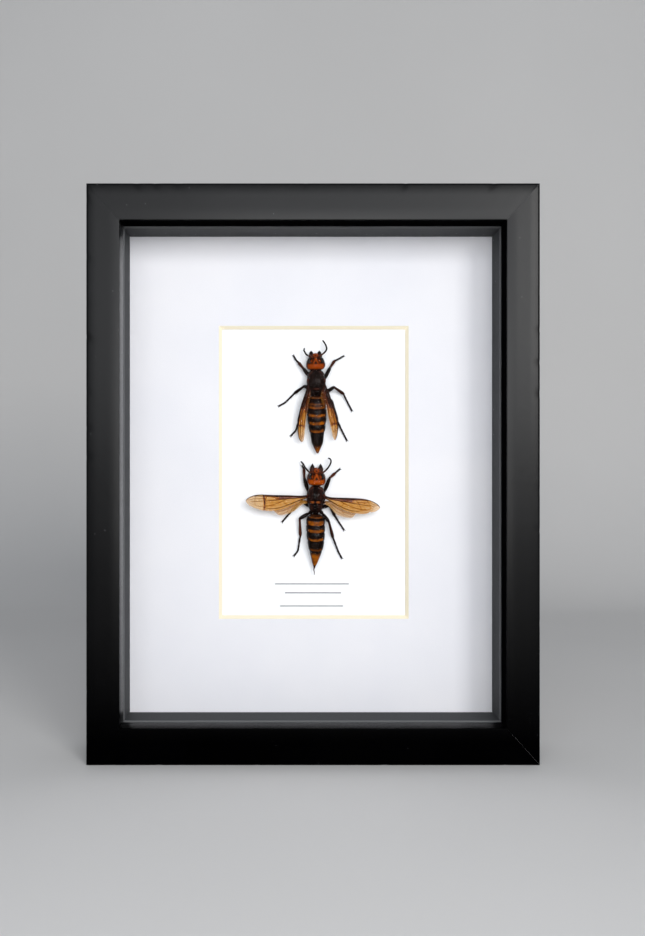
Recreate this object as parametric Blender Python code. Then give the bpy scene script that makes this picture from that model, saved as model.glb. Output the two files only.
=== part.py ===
# Two Asian giant hornets mounted on a card in a glazed box frame that stands on a table.
# The lower hornet has its wings spread and is built in named parts.
# The upper one has its wings folded and is one solid.
# Sizes are in millimetres and are scaled to metres where a mesh is made.
# The glass faces -Y, +X is to the viewer's right and the frame stands on z = 0.

import math

import bmesh
import bpy
from mathutils import Matrix, Vector
from mathutils.geometry import delaunay_2d_cdt

MM = 0.001
GAP = 0.3

# Box frame: outside sizes and the section of its moulding, whose face is wider at the top and
# the bottom. The wall beside the rebate takes up a share of the face.
FRAME_W = 203.2
FRAME_H = 260.6
FRAME_D = 38.0
FACE_SIDES = 15.0
FACE_ENDS = 16.6
WALL_SHARE = 0.62
LIP = 11.0
OUTER_CHAMFER = 1.2
INNER_CHAMFER = 0.4

# Layers in the rebate, from the front to the back
GLASS_T = 2.0
SPACER_D = 16.1
MAT_T = 1.5
CARD_T = 1.0
BOARD_T = 3.0

# Window cut in the mat: its clear size on the card, and how far it sits off the middle
WINDOW_W = 87.8
WINDOW_H = 137.2
WINDOW_SHIFT = (1.4, 1.0)

# Metal at the back
TAB_SIZE = (6.0, 11.0, 0.8)
TABS_PER_SIDE = 2
HANGER_SIZE = (44.0, 8.0, 0.8)
HANGER_TEETH = 12
HANGER_DROP = 24.0

GLASS_FRONT = LIP + GAP
SPACER_FRONT = GLASS_FRONT + GLASS_T + GAP
MAT_FRONT = SPACER_FRONT + SPACER_D + GAP
CARD_FRONT = MAT_FRONT + MAT_T + GAP
BOARD_FRONT = CARD_FRONT + CARD_T + GAP
METAL_FRONT = BOARD_FRONT + BOARD_T + GAP

# Where each hornet's middle sits on the card, and how far its head leans to the right, in degrees
LOWER_PLACE = (2.3, 118.1)
LOWER_LEAN = 1.2
UPPER_PLACE = (2.4, 172.8)
UPPER_LEAN = -1.3

# A hornet's own axes: x to its right wing in the picture, y towards the head, z off the card.
# A body station is (y, half width, underside, height of the widest line, top).
LOWER_HEAD = [
    (6.95, 2.3, 3.0, 4.7, 6.1),
    (7.3, 3.3, 2.3, 4.6, 6.8),
    (8.3, 4.1, 1.6, 4.4, 7.3),
    (9.8, 4.4, 1.2, 4.1, 7.2),
    (11.4, 4.25, 0.9, 3.7, 6.7),
    (12.7, 3.65, 0.8, 3.2, 6.0),
    (13.5, 2.4, 0.9, 2.9, 5.4),
    (14.2, 1.8, 1.1, 2.8, 4.7),
    (14.8, 1.35, 1.4, 2.7, 4.0),
    (15.2, 0.8, 1.9, 2.7, 3.4),
]
LOWER_THORAX = [
    (6.6, 1.7, 3.2, 4.7, 6.1),
    (6.1, 2.8, 2.4, 4.6, 7.0),
    (5.0, 3.6, 1.7, 4.4, 7.7),
    (3.4, 4.2, 1.2, 4.3, 8.4),
    (1.8, 4.45, 0.9, 4.3, 8.7),
    (0.6, 4.35, 0.8, 4.3, 8.5),
    (-0.1, 4.2, 0.8, 4.2, 8.0),
    (-1.2, 3.95, 0.8, 4.2, 8.2),
    (-2.2, 3.7, 0.8, 4.1, 7.7),
    (-3.3, 3.4, 0.9, 4.0, 7.2),
    (-4.6, 2.9, 1.2, 4.0, 6.3),
    (-5.5, 2.2, 1.8, 3.9, 5.5),
    (-6.1, 1.2, 2.7, 3.8, 4.8),
]
LOWER_GASTER = [
    (-6.4, 1.1, 2.8, 3.8, 4.8),
    (-6.9, 2.4, 1.7, 3.8, 6.0),
    (-7.7, 3.4, 1.0, 3.8, 7.0),
    (-9.0, 4.15, 0.6, 3.8, 7.6),
    (-12.3, 4.45, 0.4, 3.8, 7.8),
    (-16.0, 4.4, 0.4, 3.8, 7.8),
    (-19.7, 4.1, 0.4, 3.7, 7.5),
    (-24.5, 3.25, 0.7, 3.4, 6.3),
    (-28.0, 2.05, 1.2, 3.1, 5.0),
    (-30.4, 1.1, 1.9, 3.0, 4.1),
    (-31.6, 0.5, 2.4, 2.9, 3.4),
]
LOWER_MARGINS = (-9.0, -12.3, -15.7, -19.7, -24.5)
LOWER_SWAY = 0.45

UPPER_HEAD = [
    (7.1, 2.6, 3.0, 4.7, 6.3),
    (7.8, 3.8, 2.0, 4.5, 7.0),
    (8.8, 4.4, 1.4, 4.3, 7.4),
    (10.2, 4.5, 1.0, 4.0, 7.2),
    (11.8, 4.1, 0.9, 3.6, 6.6),
    (13.0, 3.4, 0.9, 3.2, 5.8),
    (14.0, 2.3, 1.1, 3.0, 5.0),
    (15.0, 1.3, 1.6, 2.9, 4.1),
]
UPPER_THORAX = [
    (7.3, 2.2, 2.6, 4.6, 6.4),
    (5.8, 3.7, 1.6, 4.4, 7.6),
    (3.4, 4.3, 1.0, 4.3, 8.4),
    (0.8, 4.45, 0.8, 4.3, 8.7),
    (-0.7, 4.1, 0.8, 4.2, 8.1),
    (-2.2, 3.7, 0.9, 4.1, 8.0),
    (-3.6, 3.1, 1.2, 4.0, 6.8),
    (-4.9, 1.7, 2.3, 3.9, 5.3),
]
UPPER_GASTER = [
    (-4.4, 1.5, 2.4, 3.9, 5.2),
    (-5.3, 3.0, 1.2, 3.8, 6.8),
    (-6.9, 3.9, 0.7, 3.8, 7.4),
    (-11.7, 4.5, 0.4, 3.8, 7.8),
    (-15.5, 4.6, 0.4, 3.7, 7.6),
    (-19.3, 4.2, 0.5, 3.6, 7.1),
    (-22.9, 3.55, 0.6, 3.4, 6.3),
    (-25.6, 2.75, 0.8, 3.3, 5.7),
    (-28.6, 2.3, 1.0, 3.2, 5.1),
    (-29.8, 1.65, 1.3, 3.1, 4.7),
    (-31.0, 1.0, 1.8, 3.0, 4.1),
    (-32.2, 0.4, 2.4, 2.9, 3.4),
]
UPPER_MARGINS = (-6.9, -11.7, -15.5, -19.3, -22.9)

BODY_POWER = 2.25
TERGITE_STEP = 0.22

# Raised plates, as ellipsoids: their middle and radii
CLYPEUS = ((0.0, 14.1, 3.9), (1.55, 1.4, 1.0))
SCUTELLUM = ((0.0, -1.15, 7.6), (2.3, 0.95, 0.8))
METANOTUM = ((0.0, -2.55, 7.1), (2.1, 0.45, 0.65))
TEGULA = ((3.75, 1.7, 6.95), (0.8, 1.2, 0.55))

# Compound eyes: middle, radii and the turn that brings their hind ends together
EYE_MIDDLE = (2.75, 10.75, 4.75)
EYE_RADII = (1.1, 1.8, 1.8)
EYE_TURN = -8.0
UPPER_EYE_MIDDLE = (2.85, 11.1, 4.75)

# A mandible's middle line from its root to its tip, with its half width and half thickness
MANDIBLE = [
    (1.9, 12.9, 2.5, 0.6, 0.7),
    (2.1, 14.0, 2.5, 0.9, 0.7),
    (2.1, 15.1, 2.5, 0.95, 0.55),
    (2.05, 16.2, 2.5, 0.68, 0.4),
    (1.85, 17.3, 2.5, 0.15, 0.2),
]
MANDIBLE_TEETH = ((15.0, 0.75), (15.9, 0.45))
UPPER_MANDIBLE_BACK = 0.7

# Antennae: points along the scape and the flagellum, from the socket to the tip
ANTENNA_R = 0.36
ANTENNA_TIP_R = 0.3
LOWER_ANTENNA_LEFT = [
    (-1.15, 12.4, 5.3), (-2.4, 13.0, 6.1), (-3.6, 13.3, 5.8),
    (-4.4, 14.1, 5.3), (-5.6, 15.6, 4.2), (-6.3, 17.0, 3.0), (-7.4, 18.2, 1.9),
]
LOWER_ANTENNA_RIGHT = [
    (1.15, 12.4, 5.3), (2.3, 13.0, 6.1), (3.5, 13.5, 5.9),
    (4.7, 14.6, 5.4), (6.1, 16.5, 4.6), (6.8, 18.4, 4.0), (6.5, 19.6, 3.5), (5.6, 20.1, 3.2),
]
UPPER_ANTENNA_LEFT = [
    (-1.0, 12.4, 5.3), (-2.4, 13.6, 5.8), (-3.6, 14.1, 5.2),
    (-4.4, 14.7, 4.6), (-5.0, 15.9, 3.8), (-5.4, 16.8, 3.3), (-5.15, 17.8, 2.8),
]
UPPER_ANTENNA_RIGHT = [
    (1.0, 12.4, 5.3), (2.3, 13.8, 5.8), (3.4, 14.6, 5.4),
    (4.6, 15.7, 4.8), (5.4, 17.2, 4.1), (5.0, 19.2, 3.4), (3.75, 21.4, 2.6),
]

# Legs: root under the body, knee, ankle, bend of the foot, claws
LOWER_LEGS = {
    'leg_front_left': [
        (-3.2, 2.3, 1.4), (-5.75, 10.4, 2.8), (-5.9, 14.5, 1.4), (-6.3, 15.3, 0.9), (-6.7, 16.0, 0.7)],
    'leg_front_right': [
        (3.2, 1.8, 1.4), (6.45, 10.7, 2.8), (8.8, 12.8, 1.6), (10.0, 13.9, 0.9), (11.2, 14.9, 0.7)],
    'leg_middle_left': [
        (-2.0, -3.9, 1.4), (-6.5, -0.6, 3.2), (-11.2, -5.3, 1.6), (-13.5, -8.1, 0.9), (-15.65, -10.7, 0.7)],
    'leg_middle_right': [
        (2.0, -3.9, 1.4), (6.4, -2.3, 3.2), (9.2, -7.2, 1.6), (11.5, -10.7, 0.9), (13.8, -14.0, 0.7)],
    'leg_hind_left': [
        (-1.9, -5.7, 1.9), (-7.5, -9.0, 3.2), (-7.0, -17.2, 1.4), (-8.0, -24.6, 0.9), (-9.7, -26.9, 0.7)],
    'leg_hind_right': [
        (2.5, -5.5, 1.9), (6.4, -10.2, 3.2), (8.6, -17.7, 1.4), (11.3, -24.4, 0.9), (13.0, -27.5, 0.7)],
}
UPPER_LEGS = [
    [(-1.9, 3.0, 1.3), (-5.8, 8.2, 2.7), (-8.0, 11.1, 1.9), (-9.3, 12.6, 1.2), (-10.3, 14.6, 0.7)],
    [(2.8, 0.7, 1.3), (7.0, 8.5, 2.5), (9.1, 11.6, 1.8), (11.2, 12.6, 1.2), (13.5, 13.9, 0.7)],
    [(-1.9, -1.6, 1.3), (-5.6, -0.2, 3.0), (-10.2, -3.3, 1.6), (-14.9, -7.7, 0.9), (-17.8, -9.2, 0.7)],
    [(2.2, -5.0, 1.3), (8.5, -1.0, 3.2), (13.1, -4.2, 1.8), (15.0, -8.3, 1.0), (16.9, -12.1, 0.7)],
    [(-1.7, -4.0, 1.4), (-6.4, -8.0, 3.0), (-8.7, -17.0, 1.4), (-10.2, -21.3, 0.9), (-12.4, -23.6, 0.7)],
    [(1.7, -4.0, 1.4), (7.5, -7.8, 3.0), (9.8, -16.9, 1.5), (12.0, -21.8, 0.9), (14.2, -26.3, 0.7)],
]
COXA_R = 0.95
FEMUR_R = 0.82
TIBIA_R = 0.68
TARSUS_R = 0.42
CLAW_LENGTH = 0.9
SPUR_LENGTH = 1.1

# The sting's middle line with its radius
STING = [(0.1, -31.9, 2.9, 0.34), (0.0, -33.3, 2.8, 0.28), (0.05, -34.7, 2.75, 0.2), (0.0, -35.8, 2.7, 0.1)]

# Wings: points along the leading and the trailing edge from root to tip, the height that the
# membrane has at the root and at the tip, and how far its middle arches
WING_T = 0.5
VEIN_RISE = 0.14
VEIN_HALF_WIDTH = 0.34
LOWER_WINGS = {
    'forewing_left': {
        'leading': [(-3.6, 2.4), (-6.8, 1.8), (-13.6, 1.95), (-20.4, 2.0),
                    (-26.5, 2.15), (-30.0, 1.5), (-32.4, 0.2), (-33.3, -1.0)],
        'trailing': [(-3.6, 1.0), (-6.4, 0.0), (-11.5, -2.6), (-16.5, -4.8),
                     (-22.2, -5.7), (-27.3, -4.9), (-31.2, -3.3), (-33.2, -1.4)],
        'heights': (6.3, 7.4), 'arch': 0.35,
    },
    'forewing_right': {
        'leading': [(3.6, 2.2), (6.6, 1.4), (10.6, 1.3), (16.0, 1.35),
                    (21.5, 1.2), (25.6, 0.4), (29.0, -1.3), (30.3, -2.8)],
        'trailing': [(3.6, 0.9), (6.3, -0.3), (10.5, -2.9), (15.0, -5.0),
                     (20.0, -6.1), (24.8, -5.9), (28.4, -4.7), (30.2, -3.2)],
        'heights': (6.3, 7.4), 'arch': 0.35,
    },
    'hindwing_left': {
        'leading': [(-3.7, -0.4), (-6.5, -0.1), (-10.0, -1.5), (-14.0, -3.2), (-17.6, -4.5), (-19.6, -5.3)],
        'trailing': [(-3.7, -1.4), (-6.7, -2.4), (-9.6, -5.0), (-13.5, -6.9), (-17.2, -7.5), (-19.5, -5.9)],
        'heights': (5.2, 5.7), 'arch': 0.1,
    },
    'hindwing_right': {
        'leading': [(3.7, -0.5), (6.5, -0.3), (10.0, -2.2), (14.0, -4.1), (17.2, -5.1), (19.0, -5.7)],
        'trailing': [(3.7, -1.6), (6.4, -3.0), (9.6, -6.4), (13.2, -7.8), (17.0, -8.0), (18.9, -6.3)],
        'heights': (5.2, 5.7), 'arch': 0.1,
    },
}
UPPER_WINGS = {
    'forewing_left': {
        'leading': [(-3.2, 2.6), (-5.0, -3.2), (-7.5, -10.2), (-8.9, -16.5),
                    (-9.3, -20.5), (-9.0, -24.0), (-8.3, -25.9), (-7.5, -26.9)],
        'trailing': [(-2.6, 1.8), (-3.6, -4.7), (-4.5, -10.3), (-5.1, -15.5),
                     (-5.7, -20.0), (-6.1, -24.0), (-6.6, -26.2), (-7.3, -27.0)],
        'heights': (6.6, 4.2), 'arch': 0.3,
    },
    'forewing_right': {
        'leading': [(3.2, 2.4), (5.9, -4.2), (7.8, -10.6), (9.3, -15.0),
                    (9.95, -18.5), (9.75, -22.0), (9.1, -25.0), (8.4, -26.4)],
        'trailing': [(2.6, 1.6), (3.4, -5.2), (4.6, -10.0), (5.2, -14.5),
                     (6.0, -18.0), (6.8, -22.0), (7.3, -24.8), (8.2, -26.4)],
        'heights': (6.6, 4.2), 'arch': 0.3,
    },
    'hindwing_right': {
        'leading': [(2.9, -2.0), (3.8, -5.4), (4.2, -8.6), (4.2, -10.8), (4.0, -11.5)],
        'trailing': [(2.6, -2.4), (1.9, -5.6), (2.4, -8.6), (3.3, -11.0), (3.8, -11.6)],
        'heights': (7.6, 7.9), 'arch': 0.1,
    },
}
# Veins, as (share of the span, share of the chord) from the root outwards
FOREWING_VEINS = [
    [(0.02, 0.12), (0.3, 0.07), (0.6, 0.08), (0.76, 0.1), (0.92, 0.2)],
    [(0.02, 0.45), (0.3, 0.32), (0.5, 0.38), (0.68, 0.42), (0.88, 0.5)],
    [(0.3, 0.32), (0.42, 0.56), (0.6, 0.72), (0.8, 0.78)],
    [(0.02, 0.75), (0.25, 0.84), (0.5, 0.88), (0.66, 0.9)],
    [(0.5, 0.09), (0.56, 0.4), (0.6, 0.72)],
    [(0.7, 0.1), (0.72, 0.44), (0.74, 0.77)],
]
HINDWING_VEINS = [
    [(0.03, 0.2), (0.4, 0.16), (0.8, 0.25)],
    [(0.03, 0.55), (0.45, 0.55), (0.86, 0.7)],
]

# Colours, as linear RGB, with roughness and metallic value
BLACK_PAINT = ((0.012, 0.012, 0.014), 0.28, 0.0)
WHITE_BOARD = ((0.86, 0.86, 0.87), 0.8, 0.0)
CARD_WHITE = ((0.9, 0.91, 0.93), 0.7, 0.0)
GREY_FOAM = ((0.12, 0.125, 0.135), 0.6, 0.0)
CLEAR_GLASS = ((0.9, 0.95, 0.94), 0.02, 0.0)
HARDBOARD = ((0.22, 0.13, 0.07), 0.75, 0.0)
ZINC = ((0.55, 0.55, 0.54), 0.35, 1.0)
ORANGE_SHELL = ((0.62, 0.16, 0.015), 0.35, 0.0)
DARK_SHELL = ((0.025, 0.012, 0.008), 0.35, 0.0)
BANDED_SHELL = ((0.2, 0.07, 0.015), 0.35, 0.0)
EYE_BLACK = ((0.02, 0.018, 0.016), 0.2, 0.0)
AMBER_WING = ((0.45, 0.21, 0.04), 0.3, 0.0)
BODY_SIDES = 24
UPPER_BODY_SIDES = 16
HEAD_RINGS = 20
THORAX_RINGS = 24


def clear_scene():
    for item in list(bpy.data.objects):
        bpy.data.objects.remove(item)


# Shared mesh helpers

def mesh_object(name, bm):
    """Turns a bmesh in millimetres into an object in metres, with its faces pointing out."""
    bmesh.ops.recalc_face_normals(bm, faces=bm.faces)
    bmesh.ops.scale(bm, vec=(MM, MM, MM), verts=bm.verts)
    mesh = bpy.data.meshes.new(name)
    bm.to_mesh(mesh)
    bm.free()
    item = bpy.data.objects.new(name, mesh)
    bpy.context.scene.collection.objects.link(item)
    return item


def finish(item, look, smooth=False):
    """Gives an object a material of its own."""
    colour, roughness, metallic = look
    material = bpy.data.materials.new(item.name + '_finish')
    material.use_nodes = True
    shader = material.node_tree.nodes['Principled BSDF']
    shader.inputs['Base Color'].default_value = (*colour, 1.0)
    shader.inputs['Roughness'].default_value = roughness
    shader.inputs['Metallic'].default_value = metallic
    item.data.materials.clear()
    item.data.materials.append(material)
    if smooth:
        item.data.shade_smooth()
        item.data.set_sharp_from_angle(angle=math.radians(40))
    return item


def bake(item):
    """Replaces an object's mesh by the one that its modifiers give."""
    bpy.context.view_layer.update()
    graph = bpy.context.evaluated_depsgraph_get()
    result = bpy.data.meshes.new_from_object(item.evaluated_get(graph))
    old = item.data
    item.modifiers.clear()
    item.data = result
    bpy.data.meshes.remove(old)
    result.name = item.name


def shell_size(faces):
    """Volume inside a group of faces, by signed tetrahedra."""
    total = 0.0
    for face in faces:
        corners = [v.co for v in face.verts]
        for second, third in zip(corners[1:-1], corners[2:]):
            total += corners[0].dot(second.cross(third)) / 6.0
    return total


def keep_largest(item):
    """Keeps the largest closed surface of a mesh and drops specks left by a cut."""
    bm = bmesh.new()
    bm.from_mesh(item.data)
    bmesh.ops.dissolve_degenerate(bm, dist=2e-6, edges=bm.edges)
    waiting = set(bm.faces)
    groups = []
    while waiting:
        group = {waiting.pop()}
        front = list(group)
        while front:
            face = front.pop()
            for edge in face.edges:
                for other in edge.link_faces:
                    if other in waiting:
                        waiting.remove(other)
                        group.add(other)
                        front.append(other)
        groups.append(group)
    largest = max(groups, key=shell_size)
    loose = [face for face in bm.faces if face not in largest]
    bmesh.ops.delete(bm, geom=loose, context='FACES')
    bm.to_mesh(item.data)
    bm.free()


def combine(item, others, operation):
    """Unites or subtracts closed meshes in one Boolean, then removes them."""
    group = bpy.data.collections.new(item.name + '_pieces')
    for other in others:
        group.objects.link(other)
    boolean = item.modifiers.new('join', 'BOOLEAN')
    boolean.operation = operation
    boolean.solver = 'EXACT'
    boolean.operand_type = 'COLLECTION'
    boolean.collection = group
    bake(item)
    for other in others:
        bpy.data.objects.remove(other)
    bpy.data.collections.remove(group)
    keep_largest(item)


def fuse(name, pieces):
    base = pieces[0]
    base.name = name
    combine(base, pieces[1:], 'UNION')
    return base


def block(name, x_range, depth_range, z_range):
    """A rectangular board, given by its ranges in X, in depth behind the front and in Z."""
    bm = bmesh.new()
    size = [high - low for low, high in (x_range, depth_range, z_range)]
    middle = [(low + high) / 2 for low, high in (x_range, depth_range, z_range)]
    middle[1] -= FRAME_D / 2
    matrix = Matrix.Translation(middle) @ Matrix.Diagonal((*size, 1.0))
    bmesh.ops.create_cube(bm, size=1.0, matrix=matrix)
    return mesh_object(name, bm)


# Box frame

def rail(name, length, faces, turn, place):
    """One side of the frame: the rebated section, cut to a mitre at both ends."""
    face, other_face = faces
    wall = face * WALL_SHARE
    section = [
        (0.0, OUTER_CHAMFER), (OUTER_CHAMFER, 0.0),
        (face - INNER_CHAMFER, 0.0), (face, INNER_CHAMFER),
        (face, LIP), (wall, LIP), (wall, FRAME_D), (0.0, FRAME_D),
    ]
    trim = GAP / math.sqrt(2)
    bm = bmesh.new()
    ends = []
    for side in (-1, 1):
        ring = []
        for inward, depth in section:
            along = side * (length / 2 - inward * other_face / face - trim)
            ring.append(bm.verts.new((along, depth - FRAME_D / 2, inward)))
        ends.append(ring)
    bmesh_loft(bm, ends)
    item = mesh_object(name, bm)
    item.rotation_euler = (0.0, math.radians(turn), 0.0)
    item.location = Vector(place) * MM
    return finish(item, BLACK_PAINT)


def bmesh_loft(bm, rings):
    """Skins a row of equal rings and closes both ends with one face each."""
    for near, far in zip(rings, rings[1:]):
        count = len(near)
        for i in range(count):
            j = (i + 1) % count
            bm.faces.new((near[i], near[j], far[j], far[i]))
    bm.faces.new(rings[0])
    bm.faces.new(rings[-1])


def build_frame():
    ends = (FACE_ENDS, FACE_SIDES)
    sides = (FACE_SIDES, FACE_ENDS)
    rail('rail_bottom', FRAME_W, ends, 0, (0.0, 0.0, 0.0))
    rail('rail_left', FRAME_H, sides, 90, (-FRAME_W / 2, 0.0, FRAME_H / 2))
    rail('rail_top', FRAME_W, ends, 180, (0.0, 0.0, FRAME_H))
    rail('rail_right', FRAME_H, sides, -90, (FRAME_W / 2, 0.0, FRAME_H / 2))


def rebate_ranges():
    """The space between the walls of the rebate, in X and in Z."""
    half = FRAME_W / 2 - FACE_SIDES * WALL_SHARE - GAP
    foot = FACE_ENDS * WALL_SHARE + GAP
    return (-half, half), (foot, FRAME_H - foot)


def build_glazing():
    x_range, z_range = rebate_ranges()
    glass = block('glass', x_range, (GLASS_FRONT, GLASS_FRONT + GLASS_T), z_range)
    finish(glass, CLEAR_GLASS)


def build_spacers():
    """Four strips that hold the glass off the mat, flush with the frame's opening."""
    x_range, z_range = rebate_ranges()
    depth = (SPACER_FRONT, SPACER_FRONT + SPACER_D)
    inner = FRAME_W / 2 - FACE_SIDES
    upright_z = (FACE_ENDS, FRAME_H - FACE_ENDS)
    parts = {
        'spacer_bottom': (x_range, (z_range[0], FACE_ENDS)),
        'spacer_top': (x_range, (FRAME_H - FACE_ENDS, z_range[1])),
        'spacer_left': ((x_range[0], -inner), (upright_z[0] + GAP, upright_z[1] - GAP)),
        'spacer_right': ((inner, x_range[1]), (upright_z[0] + GAP, upright_z[1] - GAP)),
    }
    for name, (across, height) in parts.items():
        finish(block(name, across, depth, height), GREY_FOAM)


def rectangle(bm, x_range, z_range, depth):
    corners = ((0, 0), (1, 0), (1, 1), (0, 1))
    return [bm.verts.new((x_range[i], depth - FRAME_D / 2, z_range[j])) for i, j in corners]


def build_mat():
    """The mat board, with its window cut at 45 degrees."""
    x_range, z_range = rebate_ranges()
    middle_x = WINDOW_SHIFT[0]
    middle_z = FRAME_H / 2 + WINDOW_SHIFT[1]
    bm = bmesh.new()
    rings = [rectangle(bm, x_range, z_range, MAT_FRONT)]
    for bevel, depth in ((MAT_T, MAT_FRONT), (0.0, MAT_FRONT + MAT_T)):
        half_w = WINDOW_W / 2 + bevel
        half_h = WINDOW_H / 2 + bevel
        across = (middle_x - half_w, middle_x + half_w)
        height = (middle_z - half_h, middle_z + half_h)
        rings.append(rectangle(bm, across, height, depth))
    rings.append(rectangle(bm, x_range, z_range, MAT_FRONT + MAT_T))
    for near, far in zip(rings, rings[1:] + rings[:1]):
        for i in range(4):
            j = (i + 1) % 4
            bm.faces.new((near[i], near[j], far[j], far[i]))
    finish(mesh_object('mat', bm), WHITE_BOARD)


def build_boards():
    x_range, z_range = rebate_ranges()
    finish(block('card', x_range, (CARD_FRONT, CARD_FRONT + CARD_T), z_range), CARD_WHITE)
    finish(block('back_board', x_range, (BOARD_FRONT, BOARD_FRONT + BOARD_T), z_range), HARDBOARD)


def tab(name, place, turn):
    """A flat metal tongue with a round end, which holds the back board in."""
    width, length, thickness = TAB_SIZE
    bm = bmesh.new()
    outline = [(-width / 2, 0.0), (width / 2, 0.0)]
    for step in range(7):
        angle = math.pi * step / 6
        outline.append((width / 2 * math.cos(angle), length - width / 2 + width / 2 * math.sin(angle)))
    rings = []
    for depth in (0.0, thickness):
        rings.append([bm.verts.new((x, depth, z)) for x, z in outline])
    bmesh_loft(bm, rings)
    item = mesh_object(name, bm)
    item.rotation_euler = (0.0, math.radians(turn), 0.0)
    item.location = Vector((place[0], METAL_FRONT - FRAME_D / 2, place[1])) * MM
    finish(item, ZINC)


def build_tabs():
    x_range, z_range = rebate_ranges()
    for i in range(TABS_PER_SIDE):
        share = (i + 0.5) / TABS_PER_SIDE
        x = x_range[0] + share * (x_range[1] - x_range[0])
        z = z_range[0] + share * (z_range[1] - z_range[0])
        tab(f'tab_bottom_{i + 1}', (x, z_range[0]), 0)
        tab(f'tab_top_{i + 1}', (x, z_range[1]), 180)
        tab(f'tab_left_{i + 1}', (x_range[0], z), 90)
        tab(f'tab_right_{i + 1}', (x_range[1], z), -90)


def build_hanger():
    """A toothed hanging plate fixed to the back board."""
    width, height, thickness = HANGER_SIZE
    tooth = width * 0.7 / HANGER_TEETH
    outline = [(-width / 2, height), (-width / 2, 0.0)]
    for i in range(HANGER_TEETH):
        left = -width * 0.35 + i * tooth
        outline.append((left, 0.0))
        outline.append((left + tooth / 2, height * 0.18))
    outline += [(width * 0.35, 0.0), (width / 2, 0.0), (width / 2, height)]
    bm = bmesh.new()
    rings = []
    for depth in (0.0, thickness):
        rings.append([bm.verts.new((x, depth, z)) for x, z in outline])
    bmesh_loft(bm, rings)
    item = mesh_object('hanger', bm)
    item.location = Vector((0.0, METAL_FRONT - FRAME_D / 2, FRAME_H - FACE_ENDS - HANGER_DROP)) * MM
    finish(item, ZINC)


# Curves and bodies of a hornet

def section_at(stations, y):
    """A body's half width, underside, widest line and top at y, by a smooth curve."""
    rows = sorted(stations)
    y = min(max(y, rows[0][0]), rows[-1][0])
    i = max(k for k in range(len(rows) - 1) if rows[k][0] <= y)
    before, low, high, after = rows[max(i - 1, 0)], rows[i], rows[i + 1], rows[min(i + 2, len(rows) - 1)]
    width = high[0] - low[0]
    t = (y - low[0]) / width
    rise = 3 * t**2 - 2 * t**3
    values = []
    for column in range(1, 5):
        slope_low = (high[column] - before[column]) / (high[0] - before[0])
        slope_high = (after[column] - low[column]) / (after[0] - low[0])
        bend = (t**3 - 2 * t**2 + t) * slope_low + (t**3 - t**2) * slope_high
        values.append(low[column] + (high[column] - low[column]) * rise + bend * width)
    return values


def body_ring(y, section, grow, sides, power=BODY_POWER):
    """Points of one cross section, a superellipse whose upper and lower halves differ."""
    half_width, low, wide, high = section
    points = []
    for i in range(sides):
        angle = 2 * math.pi * i / sides
        c, s = math.cos(angle), math.sin(angle)
        x = (half_width + grow) * math.copysign(abs(c) ** (2 / power), c)
        height = (high - wide if s > 0 else wide - low) + grow
        points.append((x, y, wide + height * math.copysign(abs(s) ** (2 / power), s)))
    return points


def skin(name, rings):
    """A closed mesh through equal rings, with a fan of triangles on each end."""
    bm = bmesh.new()
    rows = [[bm.verts.new(point) for point in ring] for ring in rings]
    for near, far in zip(rows, rows[1:]):
        for i in range(len(near)):
            j = (i + 1) % len(near)
            bm.faces.new((near[i], near[j], far[j], far[i]))
    for row in (rows[0], rows[-1]):
        middle = sum((v.co for v in row), Vector()) / len(row)
        hub = bm.verts.new(middle)
        for i in range(len(row)):
            bm.faces.new((row[i], row[(i + 1) % len(row)], hub))
    return mesh_object(name, bm)


def spaced(first, last, count):
    return [first + (last - first) * i / (count - 1) for i in range(count)]


def body(name, stations, count, sides, grow=0.0):
    """A head or a thorax, or the same form grown by a clearance."""
    rows = sorted(stations)
    rings = []
    for y in spaced(rows[0][0], rows[-1][0], count):
        share = (y - rows[0][0]) / (rows[-1][0] - rows[0][0])
        placed = y + grow * (2 * share - 1)
        rings.append(body_ring(placed, section_at(stations, y), grow, sides))
    return skin(name, rings)


def gaster(name, stations, margins, sway, sides):
    """The abdomen: six plates, each a little proud of the next one at its hind edge.

    Its middle line bends to the right by the sway, most in its hind half.
    """
    rows = sorted(stations)
    edges = [rows[-1][0], *margins, rows[0][0]]
    rings = []
    for front, back in zip(edges, edges[1:]):
        for share, inset in ((0.0, TERGITE_STEP), (0.2, 0.06), (0.5, 0.0), (0.8, 0.0), (0.985, 0.0)):
            y = front + (back - front) * share
            first = front == edges[0]
            rings.append(body_ring(y, section_at(stations, y), 0.0 if first else -inset, sides))
    rings.append(body_ring(edges[-1], section_at(stations, edges[-1]), 0.0, sides))
    for ring in rings:
        share = (ring[0][1] - edges[0]) / (edges[-1] - edges[0])
        shift = sway * math.sin(math.pi * share**2)
        ring[:] = [(x + shift, y, z) for x, y, z in ring]
    return skin(name, rings)


def ellipsoid(name, middle, radii, turn, segments, rings, grow=0.0):
    bm = bmesh.new()
    size = Matrix.Diagonal((*[r + grow for r in radii], 1.0))
    matrix = Matrix.Translation(middle) @ Matrix.Rotation(math.radians(turn), 4, 'Z') @ size
    bmesh.ops.create_uvsphere(bm, u_segments=segments, v_segments=rings, radius=1.0, matrix=matrix)
    return mesh_object(name, bm)


def through(points, steps):
    """A smooth curve through rows of numbers, with some steps between each two."""
    rows = [points[0], *points, points[-1]]
    result = []
    for a, b, c, d in zip(rows, rows[1:], rows[2:], rows[3:]):
        for step in range(steps):
            t = step / steps
            row = []
            for p, q, r, s in zip(a, b, c, d):
                square = (2 * p - 5 * q + 4 * r - s) * t**2
                cube = (3 * q - p - 3 * r + s) * t**3
                row.append(0.5 * (2 * q + (r - p) * t + square + cube))
            result.append(row)
    result.append(list(points[-1]))
    return result


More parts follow.
